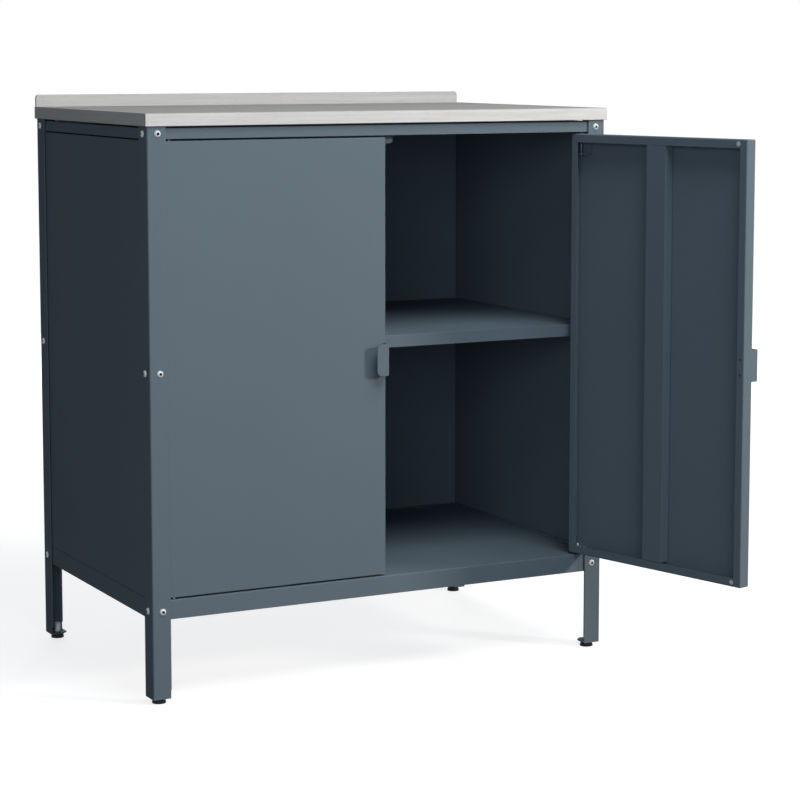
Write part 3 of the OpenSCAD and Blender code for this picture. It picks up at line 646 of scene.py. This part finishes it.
face_laminate = laminate("oak_laminate_face", FACE_LIGHT, FACE_DARK)
long_band = laminate("oak_laminate_long_band", BAND_LIGHT, BAND_DARK, arris_highlight_depth=0.8)
end_band = laminate("oak_laminate_end_band", END_LIGHT, END_DARK, turn=90, arris_highlight_depth=0.8)


def block(bm, low, high, ease, finish=0):
    """Adds a block with eased edges between two corners, with the finish of that place."""
    made_now = bmesh.ops.create_cube(bm, size=1)["verts"]
    size = [h - l for l, h in zip(low, high)]
    bmesh.ops.scale(bm, vec=size, verts=made_now)
    bmesh.ops.translate(bm, vec=[(l + h) / 2 for l, h in zip(low, high)], verts=made_now)
    for face in {f for v in made_now for f in v.link_faces}:
        face.material_index = finish
    bmesh.ops.bevel(bm, geom=list({e for v in made_now for e in v.link_edges}), offset=ease,
                    segments=3, profile=0.5, affect="EDGES", clamp_overlap=True)


# The board between its bands, the two long bands, and the two end bands between these
low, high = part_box("worktop")
x0, x1, y0, y1 = low.x + BAND_T, high.x - BAND_T, low.y + BAND_T, high.y - BAND_T
bm = bmesh.new()
block(bm, (x0, y0, low.z), (x1, y1, high.z), GLUE_GROOVE)
for start, stop in ((low.y, y0), (y1, high.y)):
    block(bm, (low.x, start, low.z), (high.x, stop, high.z), BAND_ROUND, finish=1)
for start, stop in ((low.x, x0), (x1, high.x)):
    block(bm, (start, y0, low.z), (stop, y1, high.z), BAND_ROUND, finish=2)
worktop = finished(bm, "worktop_board", face_laminate, "laminate", "cabinet", "worktop")
worktop.data.materials.append(long_band)
worktop.data.materials.append(end_band)

# Rear upstand
# A narrow strip of the same laminate with rounded upper corners, screwed to the rear edge of the
# worktop.
UPSTAND_CORNER = 5.5 * MM
UPSTAND_EASE = 0.6 * MM
UPSTAND_LIGHT = srgb(206, 205, 202)
UPSTAND_DARK = srgb(184, 181, 175)


def drawn_out(outline, way):
    """A solid between a flat outline and its copy further on."""
    bm = bmesh.new()
    face = bm.faces.new([bm.verts.new(point) for point in outline])
    far = bmesh.ops.extrude_face_region(bm, geom=[face])["geom"]
    bmesh.ops.translate(bm, vec=way, verts=[v for v in far if isinstance(v, bmesh.types.BMVert)])
    bmesh.ops.recalc_face_normals(bm, faces=bm.faces)
    return bm


low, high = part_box("backsplash")
outline = [(low.x, low.z), (high.x, low.z)]
outline += corner_arc(high.x - UPSTAND_CORNER, high.z - UPSTAND_CORNER, UPSTAND_CORNER, 0, 90, 8)
outline += corner_arc(low.x + UPSTAND_CORNER, high.z - UPSTAND_CORNER, UPSTAND_CORNER, 90, 180, 8)
bm = drawn_out([(x, low.y, z) for x, z in outline], (0, high.y - low.y, 0))
rims = [e for e in bm.edges if e.calc_face_angle(0) > EDGE_ANGLE]
bmesh.ops.bevel(bm, geom=rims, offset=UPSTAND_EASE, segments=3, profile=0.5, affect="EDGES",
                clamp_overlap=True)
upstand_laminate = laminate("oak_laminate_upstand", UPSTAND_LIGHT, UPSTAND_DARK, arris_highlight_depth=0.5)
finished(bm, "rear_upstand", upstand_laminate, "laminate", "cabinet", "backsplash")

# Frame bolts and rivet nuts
# Zinc-plated M6 button heads with a hexagon socket hold the posts to the rails and the floor, two
# to each corner at three heights. Each goes into a rivet nut behind the sheet.
HEX_KEY = 4.0 * MM
KEY_LIP, KEY_CHAMFER = 0.75 * MM, 0.25 * MM
KEY_DEPTH, KEY_FLOOR_R, KEY_FLOOR_DEPTH = 2.0 * MM, 0.2 * MM, 2.6 * MM
BOLT_IN = 17.0 * MM
BOLT_HEAD_R, BOLT_HEAD_H = 5.25 * MM, 3.3 * MM
BOLT_RIM_H, BOLT_EASE = 0.35 * MM, 0.15 * MM
BOLT_SHANK_R, BOLT_LENGTH, BOLT_POINT = 2.95 * MM, 10 * MM, 0.5 * MM
NUT_FLANGE_R, NUT_FLANGE_H, NUT_EASE = 6.5 * MM, 1.8 * MM, 0.2 * MM
NUT_BODY_R, NUT_LENGTH, NUT_POINT = 4.5 * MM, 8 * MM, 0.5 * MM
NUT_BORE_R = 3.0 * MM
NUT_BEHIND = 3.0 * MM


def hexagon(angle):
    """Radius of a hexagon at an angle, as a share of its inner circle's radius."""
    return 1 / math.cos(angle % (math.pi / 3) - math.pi / 6)


def button_bolt():
    """A domed head with a hexagon socket, on a shank with a chamfered end."""
    dome = (BOLT_HEAD_R ** 2 + BOLT_HEAD_H ** 2) / (2 * BOLT_HEAD_H)
    flat_r = HEX_KEY / 2 + KEY_LIP
    profile = [(0, -BOLT_LENGTH), (BOLT_SHANK_R - BOLT_POINT, -BOLT_LENGTH),
               (BOLT_SHANK_R, -BOLT_LENGTH + BOLT_POINT), (BOLT_SHANK_R, 0),
               (BOLT_HEAD_R - BOLT_EASE, 0), (BOLT_HEAD_R, BOLT_EASE), (BOLT_HEAD_R, BOLT_RIM_H)]
    for step in range(1, 7):
        r = BOLT_HEAD_R + (flat_r - BOLT_HEAD_R) * step / 6
        rise = math.sqrt(dome ** 2 - r ** 2) + BOLT_HEAD_H - dome
        profile.append((r, BOLT_RIM_H + rise * (1 - BOLT_RIM_H / BOLT_HEAD_H)))
    rim = len(profile)
    top = profile[-1][1]
    key = HEX_KEY / 2
    profile += [(key + KEY_CHAMFER, top), (key, top - KEY_CHAMFER), (key, top - KEY_DEPTH),
                (KEY_FLOOR_R, top - KEY_FLOOR_DEPTH), (0, top - KEY_FLOOR_DEPTH)]
    return turned(profile, sides=48, shape=hexagon, from_ring=rim + 1, recess_ring=rim)


def rivet_nut():
    """A flanged sleeve with a bore right through it."""
    profile = [(NUT_BORE_R, NUT_FLANGE_H), (NUT_FLANGE_R - NUT_EASE, NUT_FLANGE_H),
               (NUT_FLANGE_R, NUT_FLANGE_H - NUT_EASE), (NUT_FLANGE_R, 0.1 * MM),
               (NUT_FLANGE_R - 0.1 * MM, 0), (NUT_BODY_R, 0), (NUT_BODY_R, -NUT_LENGTH + NUT_POINT),
               (NUT_BODY_R - NUT_POINT, -NUT_LENGTH), (NUT_BORE_R, -NUT_LENGTH),
               (NUT_BORE_R, NUT_FLANGE_H)]
    return turned(profile, sides=32)


# Fasteners in their places: one is put at every vertex, along the direction held in "facing"
seat_tree = bpy.data.node_groups.new("fasteners_in_place", "GeometryNodeTree")
for label, kind in (("Places", "NodeSocketGeometry"), ("Fastener", "NodeSocketObject"),
                    ("Finish", "NodeSocketMaterial"), ("Recess shade", "NodeSocketMaterial"),
                    ("Largest turn", "NodeSocketFloat"), ("Seed", "NodeSocketInt")):
    seat_tree.interface.new_socket(label, in_out="INPUT", socket_type=kind)
seat_tree.interface.new_socket("Geometry", in_out="OUTPUT", socket_type="NodeSocketGeometry")
given, made = put(seat_tree, "NodeGroupInput"), put(seat_tree, "NodeGroupOutput")
facing = put(seat_tree, "GeometryNodeInputNamedAttribute", {"Name": "facing"},
             data_type="FLOAT_VECTOR")
aimed = put(seat_tree, "FunctionNodeAlignRotationToVector", {"Vector": facing.outputs[0]}, axis="Z")
chance = put(seat_tree, "FunctionNodeRandomValue", data_type="FLOAT")
seat_tree.links.new(given.outputs["Largest turn"], chance.inputs[3])
seat_tree.links.new(given.outputs["Seed"], chance.inputs["Seed"])
spin = put(seat_tree, "ShaderNodeCombineXYZ", {2: chance.outputs[1]})
spun = put(seat_tree, "FunctionNodeRotateRotation",
           {"Rotation": aimed.outputs[0],
            "Rotate By": put(seat_tree, "FunctionNodeEulerToRotation",
                             {0: spin.outputs[0]}).outputs[0]}, rotation_space="LOCAL")
model = put(seat_tree, "GeometryNodeObjectInfo", {"Object": given.outputs["Fastener"],
                                                  "As Instance": True})
placed = put(seat_tree, "GeometryNodeInstanceOnPoints",
             {"Points": given.outputs["Places"], "Instance": model.outputs["Geometry"],
              "Rotation": spun.outputs[0]})
real = put(seat_tree, "GeometryNodeRealizeInstances", {"Geometry": placed.outputs[0]})
skinned = put(seat_tree, "GeometryNodeSetMaterial",
              {"Geometry": real.outputs[0], "Material": given.outputs["Finish"]})
# Faces marked as a recess take a dark colour, which is painted shade in a socket
recess = put(seat_tree, "GeometryNodeInputNamedAttribute", {"Name": "recess"}, data_type="INT")
shaded = put(seat_tree, "GeometryNodeSetMaterial",
             {"Geometry": skinned.outputs[0], "Selection": recess.outputs[0],
              "Material": given.outputs["Recess shade"]})
seat_tree.links.new(shaded.outputs[0], made.inputs["Geometry"])
# The dark inside of hex sockets and cross recesses is painted shade
socket_shade = coated("shaded_socket", srgb(30, 31, 34), srgb(44, 45, 48), roughness=0.6,
                      cloud_depth=0.2, peel_height=0.02 * MM, rub_and_highlight_depth=0.2,
                      Specular_IOR_Level=0.1)
FASTENER_SHARP = math.radians(32)


def seated(name, pattern, spots, finish, slot, body, *nodes, seed=1):
    """Copies of a fastener at spots, each a point and the way its head faces, as one piece."""
    mesh = bpy.data.meshes.new(name + "_pattern")
    pattern.to_mesh(mesh)
    pattern.free()
    mesh.shade_smooth()
    mesh.set_sharp_from_angle(angle=FASTENER_SHARP)
    sample = bpy.data.objects.new(name + "_pattern", mesh)
    places = bpy.data.meshes.new(name)
    places.from_pydata([tuple(p) for p, _ in spots], [], [])
    facings = places.attributes.new("facing", "FLOAT_VECTOR", "POINT")
    facings.data.foreach_set("vector", [c for _, d in spots for c in d])
    piece = in_scene(name, places)
    modifier = piece.modifiers.new("seats", "NODES")
    modifier.node_group = seat_tree
    values = {"Fastener": sample, "Finish": finish, "Recess shade": socket_shade,
              "Largest turn": math.tau, "Seed": seed}
    for socket in seat_tree.interface.items_tree:
        if socket.in_out == "INPUT" and socket.name in values:
            modifier[socket.identifier] = values[socket.name]
    evaluated = piece.evaluated_get(bpy.context.evaluated_depsgraph_get())
    plain = bpy.data.meshes.new_from_object(evaluated)
    piece.modifiers.clear()
    piece.data = plain
    plain.name = name
    bpy.data.objects.remove(sample)
    return settled(piece, None, slot, body, *nodes)


half_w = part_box("post_front_right")[1].x
half_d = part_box("post_rear_left")[1].y
for seed, level in enumerate(("top", "middle", "bottom")):
    low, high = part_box(f"bolts_{level}")
    z = (low.z + high.z) / 2
    spots = []
    for sx in SIDES.values():
        for sy in ENDS.values():
            spots.append(((sx * (half_w - BOLT_IN), sy * half_d, z), (0, sy, 0)))
            spots.append(((sx * half_w, sy * (half_d - BOLT_IN), z), (sx, 0, 0)))
    seated(f"frame_bolts_{level}", button_bolt(), spots, zinc, "zinc", "cabinet",
           f"bolts_{level}", seed=seed + 4)
    behind = [(Vector(p) - NUT_BEHIND * Vector(d), d) for p, d in spots]
    seated(f"rivet_nuts_{level}", rivet_nut(), behind, zinc, "zinc", "cabinet", f"nuts_{level}")

# Screws
# Small cross-head screws, zinc-plated in the worktop and the upstand, and blackened in the feet
# of the panels. Their places and lengths come from the model.
RECESS = 0.6


def cross(angle):
    """Radius of a cross recess at an angle, as a share of its reach."""
    return 0.34 + 0.66 * math.cos(2 * angle) ** 8


def cross_screw(head_r, head_h, shank_r, length):
    """A rounded head with a cross recess, on a pointed shank. Bare numbers are shares of these."""
    recess = head_r * RECESS
    profile = [(0, -length), (shank_r * 0.4, -length + shank_r), (shank_r, -length + 2 * shank_r),
               (shank_r, 0), (head_r, 0), (head_r, 0.3 * head_h)]
    for degrees in (20, 38, 50):
        a = math.radians(degrees)
        profile.append((head_r * math.cos(a), head_h * (0.3 + 0.7 * math.sin(a))))
    profile += [(recess, head_h * 0.96)]
    ring = len(profile)
    profile += [(recess * 0.98, head_h * 0.96), (recess * 0.6, head_h * 0.2), (0, head_h * 0.15)]
    return turned(profile, sides=32, shape=cross, from_ring=ring, recess_ring=ring)


blackened = plated("blackened_steel", srgb(76, 81, 86), srgb(50, 54, 58), 0.5, Metallic=0.3)
# The radius and height of the head, the radius of the shank, the way the head faces, the finish
SCREWS = {"worktop_screws": (4.4 * MM, 2.4 * MM, 2.2 * MM, (0, 0, -1), zinc, "zinc"),
          "backsplash_screws": (4.4 * MM, 2.4 * MM, 2.2 * MM, (0, 1, 0), zinc, "zinc"),
          "panel_screws": (3.6 * MM, 1.8 * MM, 1.9 * MM, (0, 0, 1), blackened, "dark_screw")}
for node, (head_r, head_h, shank_r, way, finish, slot) in SCREWS.items():
    way = Vector(way)
    spots = []
    for low, high in solids(node):
        middle, half = (low + high) / 2, (high - low) / 2
        length = 2 * max(half) - head_h
        spots.append((middle + way * (max(half) - head_h), way))
    seated(node + "_cross_head", cross_screw(head_r, head_h, shank_r, length), spots, finish, slot,
           "cabinet", node, seed=9)

# Strike plate
# A small angle of 1.5 mm sheet, under the same coat, welded under the front rail. The upper
# magnets of the shut doors meet it.
STRIKE_SHEET, STRIKE_BEND, STRIKE_CUT = 1.5 * MM, 2.0 * MM, 0.2 * MM
dressed("catch_plate", paint, "paint", bend=STRIKE_BEND, sheet=STRIKE_SHEET, cut=STRIKE_CUT)

# Worktop spacers
# Rings of grey nylon that stand on the rails and carry the worktop. The worktop's screws go
# through them.
SPACER_BORE_R = 2.6 * MM
SPACER_EASE = 0.3 * MM
nylon = coated("grey_nylon", srgb(74, 75, 76), srgb(96, 97, 98), roughness=0.5,
               cloud_depth=0.04, peel_height=0.02 * MM, rub_and_highlight_depth=0.2, Specular_IOR_Level=0.1)
spacers = []
for low, high in solids("worktop_spacers"):
    spacer = tube(SPACER_BORE_R, (high.x - low.x) / 2, low.z, high.z, SPACER_EASE)
    spacers.append(centred(spacer, low, high))
finished(joined(spacers), "worktop_spacer_rings", nylon, "nylon", "cabinet", "worktop_spacers")

# Hinge bushes
# Flanged bushes of the same nylon line the holes in the frame that the hinge pins turn in. The
# lower two are closed at the bottom, so that they carry the doors.
PIN_R = 2.0 * MM
PIN_PLAY = 0.05 * MM
BUSH_R = 3.2 * MM
FLANGE_T = 0.8 * MM
BUSH_EASE = 0.2 * MM
BUSH_FLOOR_T = 1.0 * MM
bore = PIN_R + PIN_PLAY
frame_middle_z = (cad_box[0][2] + cad_box[1][2]) / 2
bushes = []
for low, high in solids("hinge_bushes"):
    flange_r = (high.x - low.x) / 2
    if low.z > frame_middle_z:
        profile = [(bore, low.z), (flange_r - BUSH_EASE, low.z), (flange_r, low.z + BUSH_EASE),
                   (flange_r, low.z + FLANGE_T), (BUSH_R, low.z + FLANGE_T),
                   (BUSH_R, high.z - BUSH_EASE), (BUSH_R - BUSH_EASE, high.z), (bore, high.z),
                   (bore, low.z)]
    else:
        profile = [(0, low.z), (BUSH_R - BUSH_EASE, low.z), (BUSH_R, low.z + BUSH_EASE),
                   (BUSH_R, high.z - FLANGE_T), (flange_r, high.z - FLANGE_T),
                   (flange_r, high.z - BUSH_EASE), (flange_r - BUSH_EASE, high.z), (bore, high.z),
                   (bore, low.z + BUSH_FLOOR_T), (0, low.z + BUSH_FLOOR_T)]
    bushes.append(centred(turned(profile, sides=32), low, high))
finished(joined(bushes), "hinge_bush_set", nylon, "nylon", "cabinet", "hinge_bushes")

# Doors
# Each door is a pan of 1 mm sheet with its rim folded in, a channel spot-welded down its middle
# as a stiffener, and a bracket in each hinge corner. A steel pin turns in each bush, and a snap
# ring keeps the upper one from dropping.
DOOR_SHEET, DOOR_BEND, STIFFENER_BEND = 1.0 * MM, 1.9 * MM, 1.8 * MM
BRACKET_SHEET, BRACKET_BEND = 1.4 * MM, 1.8 * MM
PIN_CHAMFER = 0.5 * MM
GROOVE_W, GROOVE_DEPTH = 0.8 * MM, 0.35 * MM
RING_GRIP = 0.3 * MM
RING_MOUTH = 35
STEEL_LIGHT = srgb(120, 122, 126)
STEEL_DARK = srgb(88, 90, 94)
dull_steel = plated("dull_steel", STEEL_LIGHT, STEEL_DARK, 0.5, Metallic=0.35,
                    Specular_IOR_Level=0.2)


def hinge_pin(low, high, groove_z=None):
    """A steel pin with chamfered ends and, where a snap ring holds it, a groove."""
    r = (high.x - low.x) / 2
    profile = [(0, low.z), (r - PIN_CHAMFER, low.z), (r, low.z + PIN_CHAMFER)]
    if groove_z is not None:
        profile += [(r, groove_z), (r - GROOVE_DEPTH, groove_z),
                    (r - GROOVE_DEPTH, groove_z + GROOVE_W), (r, groove_z + GROOVE_W)]
    profile += [(r, high.z - PIN_CHAMFER), (r - PIN_CHAMFER, high.z), (0, high.z)]
    return centred(turned(profile, sides=32), low, high)


def snap_ring(low, high):
    """A flat spring ring, open on one side, that snaps into the groove of a hinge pin."""
    outline = corner_arc(0, 0, (high.x - low.x) / 2, RING_MOUTH, 360 - RING_MOUTH, 24)
    outline += corner_arc(0, 0, PIN_R - RING_GRIP, 360 - RING_MOUTH, RING_MOUTH, 18)
    ring = drawn_out([(x, y, low.z) for x, y in outline], (0, 0, high.z - low.z))
    return centred(ring, low, high)


for side in SIDES:
    body = f"{side}_door"
    dressed(f"{side}_door_pan", paint, "paint", body, bend=DOOR_BEND, sheet=DOOR_SHEET)
    dressed(f"{side}_door_stiffener", paint, "paint", body, bend=STIFFENER_BEND, sheet=DOOR_SHEET)
    for node in (f"{side}_upper_bracket", f"{side}_lower_bracket"):
        dressed(node, paint, "paint", body, bend=BRACKET_BEND, sheet=BRACKET_SHEET)
    ring_low, ring_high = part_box(f"{side}_pin_clip")
    for place, groove_z, finish in (("upper", ring_low.z, dull_steel), ("lower", None, zinc)):
        pin = hinge_pin(*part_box(f"{side}_{place}_pin"), groove_z)
        finished(pin, f"{side}_{place}_hinge_pin", finish, "zinc", body, f"{side}_{place}_pin")
    finished(snap_ring(ring_low, ring_high), f"{side}_snap_ring", dull_steel, "zinc", body,
             f"{side}_pin_clip")

# Handles
# A tab of 1.5 mm sheet folded towards the hinge, whose web comes through a slot in the door's
# skin. Its foot is held behind the rim by two small blackened screws.
HANDLE_SHEET, HANDLE_BEND, HANDLE_CUT = 1.5 * MM, 2.0 * MM, 0.2 * MM
HANDLE_HEAD_R, HANDLE_HEAD_H = 2.5 * MM, 1.0 * MM
HANDLE_SHANK_R, HANDLE_SCREW_LENGTH = 1.5 * MM, 3.5 * MM
OPEN_ANGLE = math.radians(104.5)
INWARD = {"left": Vector((0, 1, 0)),
          "right": Vector((-math.sin(OPEN_ANGLE), math.cos(OPEN_ANGLE), 0))}


def on_rim(side, node, pattern, out, finish, slot):
    """Seats a fastener at each solid of a node of a door, so that it stands out of its rim."""
    spots = []
    for low, high in solids(node):
        middle = (low + high) / 2
        near = [vert.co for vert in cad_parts[node].data.vertices
                if all(low[i] - MM < vert.co[i] < high[i] + MM for i in range(3))]
        reach = max((Vector((co.x, co.y, 0)) - Vector((middle.x, middle.y, 0))).dot(INWARD[side])
                    for co in near)
        spots.append((middle + INWARD[side] * (reach - out), INWARD[side]))
    seated(f"{side}_door_{slot}s", pattern, spots, finish, slot, f"{side}_door", node, seed=3)


for side in SIDES:
    dressed(f"{side}_handle", paint, "paint", f"{side}_door", bend=HANDLE_BEND,
            sheet=HANDLE_SHEET, cut=HANDLE_CUT)
    screw = cross_screw(HANDLE_HEAD_R, HANDLE_HEAD_H, HANDLE_SHANK_R, HANDLE_SCREW_LENGTH)
    on_rim(side, f"{side}_handle_screws", screw, HANDLE_HEAD_H, blackened, "dark_screw")

# Magnets
# A disc of pale grey plastic with a steel face, clipped in the rim at each free corner of a
# door. It holds the shut door to the steel behind it.
MAGNET_R = 3.8 * MM
MAGNET_OUT = 0.6 * MM
MAGNET_STUB, MAGNET_STUB_IN = 2.0 * MM, 0.7 * MM
pale_plastic = coated("pale_grey_plastic", srgb(196, 200, 203), srgb(206, 210, 212),
                      roughness=0.55, cloud_depth=0.05, peel_height=0.02 * MM, rub_and_highlight_depth=0.2,
                      Specular_IOR_Level=0.1)


def magnet():
    """A moulded disc with a rounded rim, a shallow ring round its steel face, and a stub behind."""
    r, out, stub_r = MAGNET_R, MAGNET_OUT, MAGNET_R - MAGNET_STUB_IN
    profile = [(0, -MAGNET_STUB), (stub_r, -MAGNET_STUB), (stub_r, 0), (r - 0.1 * MM, 0)]
    profile += [(r, 0.1 * MM), (r, out - 0.25 * MM), (r - 0.08 * MM, out - 0.08 * MM),
                (r - 0.25 * MM, out), (2.3 * MM, out), (2.2 * MM, out - 0.2 * MM),
                (2.0 * MM, out - 0.2 * MM), (1.9 * MM, out), (0, out)]
    return turned(profile, sides=40)


for side in SIDES:
    on_rim(side, f"{side}_magnets", magnet(), MAGNET_OUT, pale_plastic, "magnet")

# Studio
# A white floor that keeps the cabinet's shadow, and a white surround. A lamp to the right of the
# doors is the key, a large one high in front and two weak ones near the camera soften it, and
# two more light the right side and the back.
FLOOR_HALF = 60.0
FLOOR_NEAR = 1.2
FLOOR_FAR = 3.2
FLOOR_GLOW_NEAR = 0.78
FLOOR_SEEN = (0.40, 0.40, 0.40, 1)
FLOOR_BOUNCE = (0.14, 0.14, 0.14, 1)
AMBIENT = (0.035, 0.040, 0.052, 1)
WHITE = (1, 1, 1, 1)


def seen_or_mirrored(tree):
    """One for what the camera sees directly, in a reflection or through something clear."""
    path = put(tree, "ShaderNodeLightPath")
    seen = maths(tree, "MAXIMUM", path.outputs["Is Camera Ray"], path.outputs["Is Glossy Ray"])
    return maths(tree, "MAXIMUM", seen, path.outputs["Is Transmission Ray"])


floor_mesh = bpy.data.meshes.new("studio_floor")
corners = [(FLOOR_HALF * x, FLOOR_HALF * y, 0) for x, y in ((-1, -1), (1, -1), (1, 1), (-1, 1))]
floor_mesh.from_pydata(corners, [], [(0, 1, 2, 3)])
floor = in_scene("studio_floor", floor_mesh)
floor_finish, tree, shader = finish_of("studio_floor", Roughness=1.0, Specular_IOR_Level=0.0,
                                       Emission_Color=WHITE)
seen = seen_or_mirrored(tree)
tree.links.new(blend(tree, seen, FLOOR_BOUNCE, FLOOR_SEEN), shader.inputs["Base Color"])
away = put(tree, "ShaderNodeVectorMath", {0: put(tree, "ShaderNodeTexCoord").outputs["Object"]},
           operation="LENGTH").outputs["Value"]
glow = maths(tree, "MULTIPLY", seen,
             spread(tree, away, FLOOR_NEAR, FLOOR_FAR, FLOOR_GLOW_NEAR, 1.0))
tree.links.new(glow, shader.inputs["Emission Strength"])
floor_mesh.materials.append(floor_finish)
world = bpy.data.worlds.new("studio")
bpy.context.scene.world = world
world.use_nodes = True
tree = world.node_tree
tree.links.new(blend(tree, seen_or_mirrored(tree), AMBIENT, WHITE),
               tree.nodes["Background"].inputs["Color"])


def lamp(name, azimuth, elevation, distance, size, level, aim=(0, 0, 0.5)):
    """A soft lamp. Azimuth 0 is in front of the doors, and level is the red, green and blue share
    of its own colour that a surface shows where it faces the lamp at that distance."""
    data = bpy.data.lights.new(name, "AREA")
    data.shape = "RECTANGLE"
    data.size, data.size_y = size
    data.energy = max(level) * (math.pi * distance) ** 2
    data.color = [share / max(level) for share in level]
    away = Vector((math.sin(math.radians(azimuth)) * math.cos(math.radians(elevation)),
                   -math.cos(math.radians(azimuth)) * math.cos(math.radians(elevation)),
                   math.sin(math.radians(elevation))))
    thing = in_scene(name, data)
    thing.location = Vector(aim) + distance * away
    thing.rotation_euler = away.to_track_quat("Z", "Y").to_euler()
    thing.visible_camera = False
    return thing


lamp("key_lamp", 43, 17, 4.2, (0.6, 0.5), (0.49, 0.44, 0.402))
lamp("high_lamp", 12, 55, 3.4, (2.0, 1.6), (0.545, 0.588, 0.62))
lamp("camera_lamp", -35, 12, 4.2, (2.0, 1.6), (0.135, 0.155, 0.18))
lamp("fill_lamp", -8, 6, 4.2, (1.4, 1.2), (0.03, 0.034, 0.042))
lamp("side_lamp", 100, 9, 4.4, (1.8, 1.4), (0.06, 0.12, 0.165))
lamp("back_lamp", 165, 9, 4.5, (2.2, 1.6), (0.54, 0.57, 0.60))

# Camera
# It stands where the photograph's straight edges put it. It looks slightly down and makes up the
# rest with a small shift, which keeps the uprights nearly parallel.
CAMERA_AT = (-1.6941, -3.5498, 0.9873)
CAMERA_LENS = 106.79
CAMERA_DOWN = 6.586
CAMERA_TURN = 27.486
CAMERA_SHIFT = -0.09
CAMERA_SENSOR = 36
CAMERA_REACH = 200
camera_data = bpy.data.cameras.new("camera")
camera_data.lens = CAMERA_LENS
camera_data.sensor_width = CAMERA_SENSOR
camera_data.shift_y = CAMERA_SHIFT
camera_data.clip_end = CAMERA_REACH
camera = in_scene("camera", camera_data)
camera.location = CAMERA_AT
camera.rotation_euler = (math.radians(90 - CAMERA_DOWN), 0, -math.radians(CAMERA_TURN))
bpy.context.scene.camera = camera
bpy.context.scene.view_settings.view_transform = "Standard"
